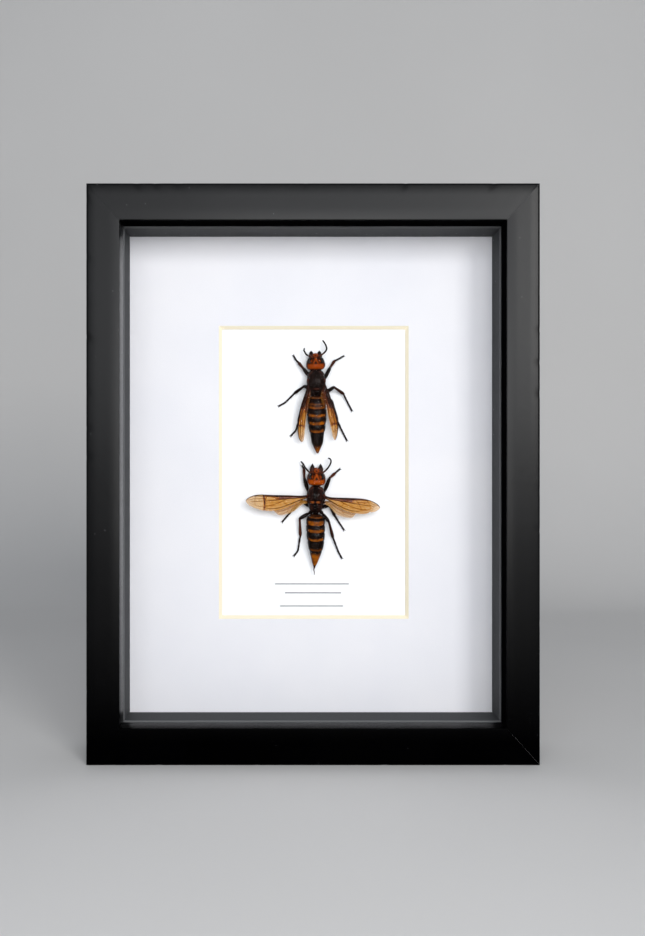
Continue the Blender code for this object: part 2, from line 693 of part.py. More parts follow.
def cross_axes(direction):
    """Two unit vectors square to a direction, the second as near to +z as it can be."""
    side = direction.cross(Vector((0.0, 0.0, 1.0)))
    if side.length < 0.05:
        side = direction.cross(Vector((0.0, 1.0, 0.0)))
    side.normalize()
    return side, side.cross(direction).normalized()


def tube(name, path, sides):
    """A tube along rows of (x, y, z, half width, half thickness)."""
    centres = [Vector(row[:3]) for row in path]
    rings = []
    for i, (row, centre) in enumerate(zip(path, centres)):
        before = centres[max(i - 1, 0)]
        after = centres[min(i + 1, len(centres) - 1)]
        side, up = cross_axes((after - before).normalized())
        ring = []
        for k in range(sides):
            angle = 2 * math.pi * k / sides
            offset = side * (row[3] * math.cos(angle)) + up * (row[4] * math.sin(angle))
            ring.append(centre + offset)
        rings.append(ring)
    return skin(name, rings)


def spindle(name, start, end, radii, sides=8):
    """A straight limb segment whose radius follows a row of (share of length, radius)."""
    start, end = Vector(start), Vector(end)
    path = []
    for share, radius in radii:
        point = start.lerp(end, share)
        path.append((*point, radius, radius))
    return tube(name, path, sides)


def limb_pieces(name, joints, sides):
    """Coxa, femur, tibia and the two lengths of the tarsus, each sunk into the next."""
    root, knee, ankle, bend, foot = [Vector(j) for j in joints]
    hip = root.lerp(knee, 0.24)
    thigh = (knee - root).normalized()
    shin = (ankle - knee).normalized()
    coxa = ((0.0, COXA_R * 0.8), (0.5, COXA_R), (1.0, FEMUR_R * 0.7))
    femur = ((0.0, 0.3), (0.12, FEMUR_R * 0.8), (0.45, FEMUR_R), (0.85, FEMUR_R * 0.85), (1.0, 0.3))
    tibia = ((0.0, 0.3), (0.1, TIBIA_R * 0.75), (0.6, TIBIA_R), (0.9, TIBIA_R * 0.95), (1.0, 0.3))
    metatarsus = ((0.0, TARSUS_R * 0.8), (0.5, TARSUS_R), (1.0, TARSUS_R * 0.9))
    tarsus = ((0.0, TARSUS_R * 0.9), (0.9, TARSUS_R), (1.0, 0.2))
    return [
        spindle(name, root, hip, coxa, sides),
        spindle('femur', root.lerp(knee, 0.17), knee + thigh * 0.25, femur, sides),
        spindle('tibia', knee - shin * 0.3, ankle + shin * 0.15, tibia, sides),
        spindle('metatarsus', ankle - shin * 0.4, bend.lerp(foot, 0.1), metatarsus, sides),
        spindle('tarsus', bend.lerp(foot, -0.05), foot, tarsus, sides),
    ]


def foot_pieces(joints):
    """The spur at the ankle and the pair of claws."""
    knee, ankle, bend, foot = [Vector(j) for j in joints[1:]]
    toes = (foot - bend).normalized()
    side = Vector((-toes.y, toes.x, 0.0))
    shin = (ankle - knee).normalized()
    spur_tip = ankle + shin * (SPUR_LENGTH - 0.3) + side * 0.45
    pieces = [spindle('spur', ankle - shin * 0.5, spur_tip, ((0.0, 0.26), (0.6, 0.2), (1.0, 0.08)), 6)]
    for way in (-1, 1):
        tip = foot + toes * CLAW_LENGTH * 0.7 + side * way * CLAW_LENGTH * 0.6
        pieces.append(spindle('claw', foot - toes * 0.35, tip, ((0.0, 0.26), (0.55, 0.2), (1.0, 0.07)), 6))
    return pieces


def leg(name, joints, sides):
    return fuse(name, limb_pieces(name, joints, sides) + foot_pieces(joints))


def antenna(name, points, sides, steps=3):
    """Scape, short elbow and flagellum along one curve, thinner at the elbow."""
    centres = through(points, steps)
    path = []
    for i, centre in enumerate(centres):
        share = i / (len(centres) - 1)
        radius = ANTENNA_R * (1.0 - 0.22 * math.exp(-((share - 0.36) / 0.04) ** 2))
        radius += (ANTENNA_TIP_R - ANTENNA_R) * max(0.0, share - 0.5) * 2
        path.append((*centre, radius, radius))
    return tube(name, path, sides)


def mandible_pieces(name, way, back, sides):
    """A broad jaw with teeth along its inner edge; way is -1 on the left."""
    path = []
    for x, y, z, half_width, half_thickness in through(MANDIBLE, 2):
        path.append((way * x, y - back, z, half_width, half_thickness))
    pieces = [tube(name, path, sides)]
    for y, length in MANDIBLE_TEETH:
        start = (way * 2.2, y - back, 2.3)
        end = (way * (2.2 - 0.55 - length), y + 0.35 - back, 2.3)
        pieces.append(spindle('tooth', start, end, ((0.0, 0.4), (0.6, 0.3), (1.0, 0.1)), 6))
    return pieces


# Wings

def wing_point(wing, span, chord):
    """A point of the wing's outline plane, from its shares of span and chord."""
    leading, trailing = wing['edges']
    place = span * (len(leading) - 1)
    i = min(int(place), len(leading) - 2)
    front = Vector(leading[i]).lerp(Vector(leading[i + 1]), place - i)
    back = Vector(trailing[i]).lerp(Vector(trailing[i + 1]), place - i)
    return front.lerp(back, chord)


def distance_to(point, line):
    """Distance from a point to a broken line."""
    nearest = 1e9
    for a, b in zip(line, line[1:]):
        along = b - a
        share = min(max((point - a).dot(along) / along.length_squared, 0.0), 1.0)
        nearest = min(nearest, (point - a - along * share).length)
    return nearest


def inside(point, outline):
    """Whether a point lies in a closed outline."""
    result = False
    for a, b in zip(outline, outline[1:] + outline[:1]):
        if (a.y > point.y) != (b.y > point.y):
            if point.x < a.x + (point.y - a.y) / (b.y - a.y) * (b.x - a.x):
                result = not result
    return result


def vein_lines(line):
    """A vein's crest and the two feet beside it."""
    feet = ([], [])
    for i, point in enumerate(line):
        along = (line[min(i + 1, len(line) - 1)] - line[max(i - 1, 0)]).normalized()
        square = Vector((-along.y, along.x)) * VEIN_HALF_WIDTH
        feet[0].append(point + square)
        feet[1].append(point - square)
    return [line, *feet]


def wing(name, shape, veins, steps=4, vein_steps=2):
    """A thin closed wing whose veins are ridges, with the same triangles on both faces."""
    leading = through(shape['leading'], steps)
    trailing = through(shape['trailing'], steps)
    plane = {'edges': (leading, trailing)}
    outline = [Vector(p) for p in leading] + [Vector(p) for p in reversed(trailing)]
    crests = []
    for vein in veins:
        crests.append([wing_point(plane, span, chord) for span, chord in through(vein, vein_steps)])
    points = list(outline)
    edges = [(i, (i + 1) % len(outline)) for i in range(len(outline))]
    for crest in crests:
        for line in vein_lines(crest):
            line = [p for p in line if inside(p, outline)]
            start = len(points)
            points += line
            edges += [(start + i, start + i + 1) for i in range(len(line) - 1)]
    merged = 0.04
    flat, _, triangles, *_ = delaunay_2d_cdt(points, edges, [], 0, merged)
    triangles = [t for t in triangles if inside(sum((flat[i] for i in t), Vector((0.0, 0.0))) / 3, outline)]
    root, tip = outline[0], Vector(leading[-1])
    span = (tip - root).length

    def height(point):
        share = min(max((point - root).dot(tip - root) / span**2, 0.0), 1.0)
        low, high = shape['heights']
        level = low + (high - low) * share + shape['arch'] * math.sin(math.pi * share)
        near = min(distance_to(point, crest) for crest in crests)
        return level, VEIN_RISE * max(0.0, 1.0 - near / VEIN_HALF_WIDTH)

    used = sorted({i for t in triangles for i in t})
    bm = bmesh.new()
    upper, lower = {}, {}
    for i in used:
        level, ridge = height(flat[i])
        half = WING_T / 2 + ridge
        upper[i] = bm.verts.new((flat[i].x, flat[i].y, level + half))
        lower[i] = bm.verts.new((flat[i].x, flat[i].y, level - half))
    rims = {}
    for t in triangles:
        bm.faces.new([upper[i] for i in t])
        bm.faces.new([lower[i] for i in reversed(t)])
        for a, b in ((t[0], t[1]), (t[1], t[2]), (t[2], t[0])):
            if (b, a) in rims:
                del rims[(b, a)]
            else:
                rims[(a, b)] = True
    for a, b in rims:
        bm.faces.new((upper[b], upper[a], lower[a], lower[b]))
    return mesh_object(name, bm)


# The two hornets

def mount_point(name, place, lean):
    """The empty that carries a hornet: it turns the hornet's axes onto the card."""
    point = bpy.data.objects.new(name, None)
    bpy.context.scene.collection.objects.link(point)
    point.location = Vector((place[0], CARD_FRONT - FRAME_D / 2, place[1])) * MM
    point.rotation_euler = (math.radians(90), math.radians(lean), 0.0)
    return point


def thorax_plates(grow):
    """The scutellum, the metanotum and the scale over each wing's root."""
    middle, radii = TEGULA
    plates = [('scutellum', *SCUTELLUM), ('metanotum', *METANOTUM)]
    for way in (-1, 1):
        plates.append(('tegula', (way * middle[0], *middle[1:]), radii))
    return [ellipsoid(name, place, size, 0.0, 14, 8, grow) for name, place, size in plates]


def head_clearance():
    """The head's form grown by the gap that its neighbours keep to it."""
    face = ellipsoid('clearance', *CLYPEUS, 0.0, 14, 10, GAP)
    return [body('clearance', LOWER_HEAD, HEAD_RINGS, BODY_SIDES, GAP), face]


def thorax_clearance():
    chest = body('clearance', LOWER_THORAX, THORAX_RINGS, BODY_SIDES, GAP)
    return [chest, *thorax_plates(GAP)]


def build_lower_hornet():
    sides = BODY_SIDES
    parts = []

    face = ellipsoid('clypeus', *CLYPEUS, 0.0, 14, 10)
    head = fuse('head', [body('head', LOWER_HEAD, HEAD_RINGS, sides), face])
    sockets = []
    for way in (-1, 1):
        middle = (way * EYE_MIDDLE[0], *EYE_MIDDLE[1:])
        sockets.append(ellipsoid('socket', middle, EYE_RADII, way * EYE_TURN, 14, 10, GAP))
        side = 'left' if way < 0 else 'right'
        eye = ellipsoid(f'eye_{side}', middle, EYE_RADII, way * EYE_TURN, 14, 10)
        parts.append(finish(eye, EYE_BLACK, True))
    combine(head, sockets, 'DIFFERENCE')
    parts.append(finish(head, ORANGE_SHELL, True))

    for way, side in ((-1, 'left'), (1, 'right')):
        name = f'mandible_{side}'
        jaw = fuse(name, mandible_pieces(name, way, 0.0, 8))
        combine(jaw, head_clearance(), 'DIFFERENCE')
        parts.append(finish(jaw, DARK_SHELL, True))
    for side, points in (('left', LOWER_ANTENNA_LEFT), ('right', LOWER_ANTENNA_RIGHT)):
        feeler = antenna(f'antenna_{side}', points, 8)
        combine(feeler, head_clearance(), 'DIFFERENCE')
        parts.append(finish(feeler, BANDED_SHELL, True))

    chest = body('thorax', LOWER_THORAX, THORAX_RINGS, sides)
    thorax = fuse('thorax', [chest, *thorax_plates(0.0)])
    parts.append(finish(thorax, DARK_SHELL, True))
    abdomen = gaster('abdomen', LOWER_GASTER, LOWER_MARGINS, LOWER_SWAY, sides)
    parts.append(finish(abdomen, BANDED_SHELL, True))
    sting = tube('sting', [(x, y, z, r, r) for x, y, z, r in STING], 8)
    parts.append(finish(sting, BANDED_SHELL, True))

    for name, joints in LOWER_LEGS.items():
        limb = leg(name, joints, 8)
        combine(limb, thorax_clearance(), 'DIFFERENCE')
        parts.append(finish(limb, DARK_SHELL, True))
    for name, shape in LOWER_WINGS.items():
        veins = FOREWING_VEINS if name.startswith('fore') else HINDWING_VEINS
        vane = wing(name, shape, veins)
        combine(vane, thorax_clearance(), 'DIFFERENCE')
        parts.append(finish(vane, AMBER_WING))

    point = mount_point('lower_place', LOWER_PLACE, LOWER_LEAN)
    for part in parts:
        part.parent = point


def build_upper_hornet():
    sides = UPPER_BODY_SIDES
    pieces = [
        body('hornet_upper', UPPER_THORAX, 12, sides),
        body('head', UPPER_HEAD, 10, sides),
        gaster('abdomen', UPPER_GASTER, UPPER_MARGINS, 0.0, sides),
    ]
    for way in (-1, 1):
        middle = (way * UPPER_EYE_MIDDLE[0], *UPPER_EYE_MIDDLE[1:])
        pieces.append(ellipsoid('eye', middle, EYE_RADII, way * EYE_TURN, 10, 8, 0.1))
        pieces += mandible_pieces('mandible', way, UPPER_MANDIBLE_BACK, 6)
    for points in (UPPER_ANTENNA_LEFT, UPPER_ANTENNA_RIGHT):
        pieces.append(antenna('antenna', points, 6, 2))
    for joints in UPPER_LEGS:
        pieces += limb_pieces('limb', joints, 6)
    for name, shape in UPPER_WINGS.items():
        veins = FOREWING_VEINS[:2] if name.startswith('fore') else HINDWING_VEINS[:1]
        pieces.append(wing(name, shape, veins, 2, 1))
    hornet = fuse('hornet_upper', pieces)
    finish(hornet, BANDED_SHELL, True)
    hornet.parent = mount_point('upper_place', UPPER_PLACE, UPPER_LEAN)


def main():
    clear_scene()
    build_frame()
    build_glazing()
    build_spacers()
    build_mat()
    build_boards()
    build_tabs()
    build_hanger()
    build_lower_hornet()
    build_upper_hornet()


main()
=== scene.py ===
# Looks of two Asian giant hornets mounted on a card in a glazed box frame.
# Sizes are in millimetres unless a name says otherwise, and become metres where a mesh is made.

import math

import bmesh
import bpy
import numpy as np
from mathutils import Matrix, Vector


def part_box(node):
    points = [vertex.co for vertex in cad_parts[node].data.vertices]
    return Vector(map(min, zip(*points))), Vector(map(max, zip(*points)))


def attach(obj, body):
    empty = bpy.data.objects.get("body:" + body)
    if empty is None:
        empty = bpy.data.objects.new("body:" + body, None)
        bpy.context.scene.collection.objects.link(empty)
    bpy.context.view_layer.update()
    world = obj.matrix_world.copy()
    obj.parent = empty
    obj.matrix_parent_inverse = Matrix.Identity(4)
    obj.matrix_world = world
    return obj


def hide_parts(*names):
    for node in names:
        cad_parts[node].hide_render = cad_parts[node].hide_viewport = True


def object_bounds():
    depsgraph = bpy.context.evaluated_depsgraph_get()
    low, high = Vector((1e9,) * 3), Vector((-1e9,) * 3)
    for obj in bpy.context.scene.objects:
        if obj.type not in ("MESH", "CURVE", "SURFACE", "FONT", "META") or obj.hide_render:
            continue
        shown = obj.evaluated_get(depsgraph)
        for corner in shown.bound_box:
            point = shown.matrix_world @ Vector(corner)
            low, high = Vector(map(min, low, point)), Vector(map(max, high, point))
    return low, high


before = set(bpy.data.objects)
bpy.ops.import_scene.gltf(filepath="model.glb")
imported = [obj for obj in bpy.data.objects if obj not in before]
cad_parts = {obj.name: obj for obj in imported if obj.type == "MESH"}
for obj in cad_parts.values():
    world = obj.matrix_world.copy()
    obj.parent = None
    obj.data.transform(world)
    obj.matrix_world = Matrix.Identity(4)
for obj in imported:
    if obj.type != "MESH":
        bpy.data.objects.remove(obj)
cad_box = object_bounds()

MM = 0.001

# Camera, from the photo: how far it stands in front of the frame, where its axis meets the
# picture, and the size of one pixel at the front of the frame
PHOTO_W = 645
PHOTO_H = 936
AXIS_PIXEL = (280.0, 478.0)
CAMERA_DISTANCE = 424.0
CAMERA_X = -14.8
CAMERA_Z = 128.6
PIXEL_MM = 0.447
SENSOR_MM = 36.0

# Lights: name, place and aim in metres, size, power in watts and colour
LIGHTS = [
    ('key', (1.2, -2.5, 0.8), (0.0, 0.0, 0.13), (0.7, 1.0), 24.0, (1.0, 0.985, 0.96)),
    ('front', (0.03, -0.62, 0.17), (0.0, 0.0, 0.14), (0.26, 0.3), 0.9, (1.0, 0.99, 0.97)),
    ('right_softbox', (0.15, -0.75, 0.36), (0.08, 0.0, 0.2), (0.46, 0.4), 2.5, (0.95, 0.97, 1.0)),
    ('left_softbox', (-0.22, -0.75, 0.37), (-0.1, 0.0, 0.2), (0.3, 0.4), 1.1, (0.95, 0.97, 1.0)),
]
SKY_COLOUR = (0.86, 0.92, 1.0, 1.0)
SKY_STRENGTH = 0.32

# The stage: its edges, and the bend between its floor and its backdrop
STAGE_FRONT = -1200.0
STAGE_BACK = 700.0
STAGE_SIDE = 1500.0
STAGE_TOP = 1500.0
STAGE_BEND = 250.0

# Sizes of the frame, read from the solids where they can be. Between the two heights of the
# painted reflection, the paint goes from darker and without shine at the foot to its own colour
# and full shine above, as painted shade and painted reflection.
FRAME_LOW, FRAME_HIGH = [tuple(c / MM for c in corner) for corner in cad_box]
FRAME_W = FRAME_HIGH[0] - FRAME_LOW[0]
FRAME_H = FRAME_HIGH[2] - FRAME_LOW[2]
FRAME_D = FRAME_HIGH[1] - FRAME_LOW[1]
FACE_SIDES = 15.0
FACE_ENDS = 16.6
WALL_SHARE = 0.62
LIP = 11.0
RAIL_RINGS = 160
PAINTED_REFLECTION_HEIGHTS = (10.0, 110.0)
CARD_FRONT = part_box("card")[0].y / MM

# Ruled lines in the place of the label: the height and the two ends of each, and their size
LABEL_RULES = ((77.7, -17.2, 18.3), (73.4, -12.4, 14.5), (67.1, -14.8, 15.5))
RULE_POINTS = 24
RULE_HALF_DEPTH = 0.03
RULE_HALF_HEIGHT = 0.2

# Where each hornet's middle sits on the card, and how far it leans, in degrees
LOWER_PLACE = (2.3, 118.1, 1.2)
UPPER_PLACE = (2.4, 172.8, -1.3)

# A hornet's own axes: x to its right wing in the picture, y towards the head, z off the card.
# A body station is (y, half width, underside, height of the widest line, top).
LOWER_HEAD = [
    (6.95, 2.3, 3.0, 4.7, 6.1), (7.3, 3.3, 2.3, 4.6, 6.8), (8.3, 4.1, 1.6, 4.4, 7.3),
    (9.8, 4.4, 1.2, 4.1, 7.2), (11.4, 4.25, 0.9, 3.7, 6.7), (12.7, 3.65, 0.8, 3.2, 6.0),
    (13.5, 2.4, 0.9, 2.9, 5.4), (14.2, 1.8, 1.1, 2.8, 4.7), (14.8, 1.35, 1.4, 2.7, 4.0),
    (15.2, 0.8, 1.9, 2.7, 3.4),
]
LOWER_THORAX = [
    (6.6, 1.7, 3.2, 4.7, 6.1), (6.1, 2.8, 2.4, 4.6, 7.0), (5.0, 3.6, 1.7, 4.4, 7.7),
    (3.4, 4.2, 1.2, 4.3, 8.4), (1.8, 4.45, 0.9, 4.3, 8.7), (0.6, 4.35, 0.8, 4.3, 8.5),
    (-0.1, 4.2, 0.8, 4.2, 8.0), (-1.2, 3.95, 0.8, 4.2, 8.2), (-2.2, 3.7, 0.8, 4.1, 7.7),
    (-3.3, 3.4, 0.9, 4.0, 7.2), (-4.6, 2.9, 1.2, 4.0, 6.3), (-5.5, 2.2, 1.8, 3.9, 5.5),
    (-6.1, 1.2, 2.7, 3.8, 4.8),
]
LOWER_GASTER = [
    (-6.4, 1.1, 2.8, 3.8, 4.8), (-6.9, 2.4, 1.7, 3.8, 6.0), (-7.7, 3.4, 1.0, 3.8, 7.0),
    (-9.0, 4.15, 0.6, 3.8, 7.6), (-12.3, 4.45, 0.4, 3.8, 7.8), (-16.0, 4.4, 0.4, 3.8, 7.8),
    (-19.7, 4.1, 0.4, 3.7, 7.5), (-24.5, 3.25, 0.7, 3.4, 6.3), (-28.0, 2.05, 1.2, 3.1, 5.0),
    (-30.4, 1.1, 1.9, 3.0, 4.1), (-31.6, 0.5, 2.4, 2.9, 3.4),
]
UPPER_HEAD = [
    (7.1, 2.6, 3.0, 4.7, 6.3), (7.8, 3.8, 2.0, 4.5, 7.0), (8.8, 4.4, 1.4, 4.3, 7.4),
    (10.2, 4.5, 1.0, 4.0, 7.2), (11.8, 4.1, 0.9, 3.6, 6.6), (13.0, 3.4, 0.9, 3.2, 5.8),
    (14.0, 2.3, 1.1, 3.0, 5.0), (15.0, 1.3, 1.6, 2.9, 4.1),
]
UPPER_THORAX = [
    (7.3, 2.2, 2.6, 4.6, 6.4), (5.8, 3.7, 1.6, 4.4, 7.6), (3.4, 4.3, 1.0, 4.3, 8.4),
    (0.8, 4.45, 0.8, 4.3, 8.7), (-0.7, 4.1, 0.8, 4.2, 8.1), (-2.2, 3.7, 0.9, 4.1, 8.0),
    (-3.6, 3.1, 1.2, 4.0, 6.8), (-4.9, 1.7, 2.3, 3.9, 5.3),
]
UPPER_GASTER = [
    (-4.4, 1.5, 2.4, 3.9, 5.2), (-5.3, 3.0, 1.2, 3.8, 6.8), (-6.9, 3.9, 0.7, 3.8, 7.4),
    (-11.7, 4.5, 0.4, 3.8, 7.8), (-15.5, 4.6, 0.4, 3.7, 7.6), (-19.3, 4.2, 0.5, 3.6, 7.1),
    (-22.9, 3.65, 0.6, 3.4, 6.3), (-25.6, 3.05, 0.8, 3.3, 5.7), (-28.6, 2.55, 1.0, 3.2, 5.1),
    (-29.8, 1.85, 1.3, 3.1, 4.7), (-31.0, 1.15, 1.8, 3.0, 4.1), (-32.2, 0.45, 2.4, 2.9, 3.4),
]
BODY_POWER = 2.25
DOME_RINGS = 5
HEAD_RINGS, HEAD_SIDES = 110, 112
THORAX_RINGS, THORAX_SIDES = 150, 120
GASTER_SIDES = 128
CLYPEUS = [(0.0, 12.75), (0.9, 12.85), (1.5, 13.4), (1.65, 14.4)]

# A rolled thorax leans to its side about this height. The plates of the abdomen step down and
# sweep back by these amounts, with rings at these shares of a plate's length.
ROLL_HEIGHT = 4.3
TERGITE_STEP = 0.22
TERGITE_SWEEP = 0.8
PLATE_SHARES = np.array([
    0.0, 0.02, 0.06, 0.12, 0.2, 0.3, 0.4, 0.5, 0.6, 0.7, 0.8, 0.87, 0.92, 0.95, 0.97, 0.985])
LOWER_SWAY = 0.45

# Orange bands of the abdomen, each as its front edge, its hind edge and how bright it is
LOWER_BANDS = [
    (-6.9, -7.6, 0.5), (-7.9, -8.8, 0.7), (-10.2, -12.25, 1.0), (-14.2, -15.65, 0.95),
    (-18.45, -19.6, 0.95), (-23.4, -24.35, 0.7), (-25.5, -31.2, 1.15)]
UPPER_BANDS = [
    (-5.7, -6.9, 0.7), (-9.0, -10.25, 0.75), (-10.7, -12.0, 0.9), (-14.35, -15.95, 1.0),
    (-17.85, -19.4, 1.0), (-21.7, -23.0, 0.95), (-29.2, -32.4, 1.0)]

# Compound eyes: middle, radii and the turn that brings their hind ends together
LOWER_EYE = (2.6, 10.8, 4.85)
UPPER_EYE = (2.7, 11.15, 4.85)
EYE_RADII = (1.3, 1.85, 1.9)
EYE_TURN = -8.0

# A mandible's middle line from its root to its tip, with its half width and half thickness
MANDIBLE = [
    (1.9, 12.9, 2.5, 0.75, 0.7), (2.05, 14.0, 2.5, 1.1, 0.7), (2.05, 15.1, 2.5, 1.12, 0.55),
    (2.0, 16.2, 2.5, 0.6, 0.38), (1.88, 17.3, 2.5, 0.1, 0.2),
]
UPPER_MANDIBLE_BACK = 0.7
SIDES = ((-1, 'left'), (1, 'right'))

# Antennae: points from the socket to the tip
ANTENNA_R = 0.43
ANTENNA_TIP_R = 0.37
LOWER_ANTENNAE = {
    'left': [(-1.15, 12.4, 5.3), (-2.4, 13.0, 6.1), (-3.6, 13.3, 5.8), (-4.4, 14.1, 5.3),
             (-5.6, 15.6, 4.2), (-6.3, 17.0, 3.0), (-7.4, 18.2, 1.9)],
    'right': [(1.15, 12.4, 5.3), (2.3, 13.0, 6.1), (3.5, 13.5, 5.9), (4.7, 14.6, 5.4),
              (6.1, 16.5, 4.6), (6.8, 18.4, 4.0), (6.5, 19.6, 3.5), (5.6, 20.1, 3.2)],
}
UPPER_ANTENNAE = {
    'left': [(-1.0, 12.4, 5.3), (-2.4, 13.6, 5.8), (-3.6, 14.1, 5.2), (-4.4, 14.7, 4.6),
             (-5.0, 15.9, 3.8), (-5.4, 16.8, 3.3), (-5.15, 17.8, 2.8)],
    'right': [(1.0, 12.4, 5.3), (2.3, 13.8, 5.8), (3.4, 14.6, 5.4), (4.6, 15.7, 4.8),
              (5.4, 17.2, 4.1), (5.0, 19.2, 3.4), (3.75, 21.4, 2.6)],
}

# Legs: root under the body, knee, ankle, bend of the foot, claws
LOWER_LEGS = {
    'front_left': [
        (-3.2, 2.3, 1.4), (-5.75, 10.4, 2.8), (-5.9, 14.5, 1.4), (-6.3, 15.3, 0.9), (-6.7, 16.0, 0.7)],
    'front_right': [
        (3.2, 1.8, 1.4), (6.45, 10.7, 2.8), (8.8, 12.8, 1.6), (10.0, 13.9, 0.9), (11.2, 14.9, 0.7)],
    'middle_left': [
        (-2.0, -3.9, 1.4), (-6.5, -0.6, 3.2), (-11.2, -5.3, 1.6), (-13.5, -8.1, 0.9), (-15.65, -10.7, 0.7)],
    'middle_right': [
        (2.0, -3.9, 1.4), (6.4, -2.3, 3.2), (9.2, -7.2, 1.6), (11.5, -10.7, 0.9), (13.8, -14.0, 0.7)],
    'hind_left': [
        (-1.9, -5.7, 1.9), (-7.5, -9.0, 3.2), (-7.0, -17.2, 1.4), (-8.0, -24.6, 0.9), (-9.7, -26.9, 0.7)],
    'hind_right': [
        (2.5, -5.5, 1.9), (6.4, -10.2, 3.2), (8.6, -17.7, 1.4), (11.3, -24.4, 0.9), (13.0, -27.5, 0.7)],
}
UPPER_LEGS = {
    'front_left': [
        (-1.9, 3.0, 1.3), (-5.8, 8.2, 2.7), (-8.0, 11.1, 1.9), (-9.3, 12.6, 1.2), (-10.3, 14.6, 0.7)],
    'front_right': [
        (2.8, 0.7, 1.3), (7.0, 8.5, 2.5), (9.1, 11.6, 1.8), (11.2, 12.6, 1.2), (13.5, 13.9, 0.7)],
    'middle_left': [
        (-1.9, -1.6, 1.3), (-5.6, -0.2, 3.0), (-10.2, -3.3, 1.6), (-14.9, -7.7, 0.9), (-17.8, -9.2, 0.7)],
    'middle_right': [
        (2.2, -5.0, 1.3), (8.5, -1.0, 3.2), (13.1, -4.2, 1.8), (15.0, -8.3, 1.0), (16.9, -12.1, 0.7)],
    'hind_left': [
        (-1.7, -4.0, 1.4), (-6.4, -8.0, 3.0), (-8.7, -17.0, 1.4), (-10.2, -21.3, 0.9), (-12.4, -23.6, 0.7)],
    'hind_right': [
        (1.7, -4.0, 1.4), (7.5, -7.8, 3.0), (9.8, -16.9, 1.5), (12.0, -21.8, 0.9), (14.2, -26.3, 0.7)],
}
COXA_R = 0.95
FEMUR_R = 0.94
TIBIA_R = 0.79
TARSUS_R = 0.5

# Hair of each part: number, length, radius, how far it stands up, look, slot and seed
HAIR = {
    'head': (900, 0.4, 0.011, 0.8, 'pale_hair', 'shell_orange', 21),
    'thorax': (2200, 0.55, 0.011, 0.7, 'brown_hair', 'shell_dark', 22),
    'gaster': (2600, 0.32, 0.01, 0.35, 'brown_hair', 'shell_banded', 23),
    'limb': (420, 0.3, 0.011, 0.5, 'brown_hair', 'shell_dark', 60),
}
# A hair's seven points are a triangle at its root, one halfway up and the tip. These are its
# faces, the tone of each point and where the points lie in the hair's patch of the map.
HAIR_FACES = [(0, 1, 4, 3), (1, 2, 5, 4), (2, 0, 3, 5), (3, 4, 6), (4, 5, 6), (5, 3, 6), (2, 1, 0)]
HAIR_TONES = [0.0, 0.0, 0.0, 0.5, 0.5, 0.5, 1.0]
HAIR_PATCH = np.array([(0, 0), (1, 0), (0.5, 1), (0, 0.5), (1, 0.5), (0.5, 0.8), (0.5, 0.6)]) - 0.5
PATCH_SIZE = 0.003

# Wings: points along the leading and the trailing edge from root to tip, the height of the
# membrane at the root and at the tip, how far its middle arches and its number of fine pleats.
# The rest are shares of the wing's length: where the brown zone behind the leading edge ends,
# where the membrane turns pale, and where a crease crosses it or a notch cuts its hind edge.
# A forewing's stain is how far back the brown zone reaches, its shade how much its root half
# darkens and its fold how dark the painted shade along the crease is. A hindwing has its own tone and cover.
LOWER_WINGS = {
    'forewing_left': {
        'leading': [(-3.6, 2.4), (-6.8, 1.8), (-13.6, 1.95), (-20.4, 2.0),
                    (-26.5, 2.15), (-30.0, 1.5), (-32.4, 0.2), (-33.3, -1.0)],
        'trailing': [(-3.6, 1.0), (-6.4, 0.0), (-11.5, -2.6), (-16.5, -4.8),
                     (-22.2, -5.7), (-27.3, -4.9), (-31.2, -3.3), (-33.2, -1.4)],
        'heights': (6.3, 7.4), 'arch': 0.35, 'pleats': 5, 'stain': 0.31, 'shade': 0.0, 'fold': 0.5,
        'brown': 0.52, 'pale': 0.72, 'crease': 0.705, 'notch': None,
    },
    'forewing_right': {
        'leading': [(3.6, 2.2), (6.6, 1.4), (10.6, 1.3), (16.0, 1.35),
                    (21.5, 1.2), (25.6, 0.4), (29.0, -1.3), (30.3, -2.8)],
        'trailing': [(3.6, 0.9), (6.3, -0.3), (10.5, -2.9), (15.0, -5.0),
                     (20.0, -6.1), (24.8, -5.9), (28.4, -4.7), (30.2, -3.2)],
        'heights': (6.3, 7.4), 'arch': 0.35, 'pleats': 5, 'stain': 0.31, 'shade': 0.0,
        'brown': 0.55, 'pale': 0.85, 'crease': None, 'notch': 0.735,
    },
    'hindwing_left': {
        'leading': [(-3.7, -0.4), (-6.5, -0.1), (-10.0, -1.5), (-14.0, -3.2), (-17.6, -4.5), (-19.6, -5.3)],
        'trailing': [(-3.7, -1.4), (-6.7, -2.4), (-9.6, -5.0), (-13.5, -6.9), (-17.2, -7.5), (-19.5, -5.9)],
        'heights': (5.2, 5.7), 'arch': 0.1, 'pleats': 4, 'tone': 0.72, 'cover': 0.72,
        'crease': None, 'notch': None,
    },
    'hindwing_right': {
        'leading': [(3.7, -0.5), (6.5, -0.3), (10.0, -2.2), (14.0, -4.1), (17.2, -5.1), (19.0, -5.7)],
        'trailing': [(3.7, -1.6), (6.4, -3.0), (9.6, -6.4), (13.2, -7.8), (17.0, -8.0), (18.9, -6.3)],
        'heights': (5.2, 5.7), 'arch': 0.1, 'pleats': 4, 'tone': 0.72, 'cover': 0.72,
        'crease': None, 'notch': None,
    },
}
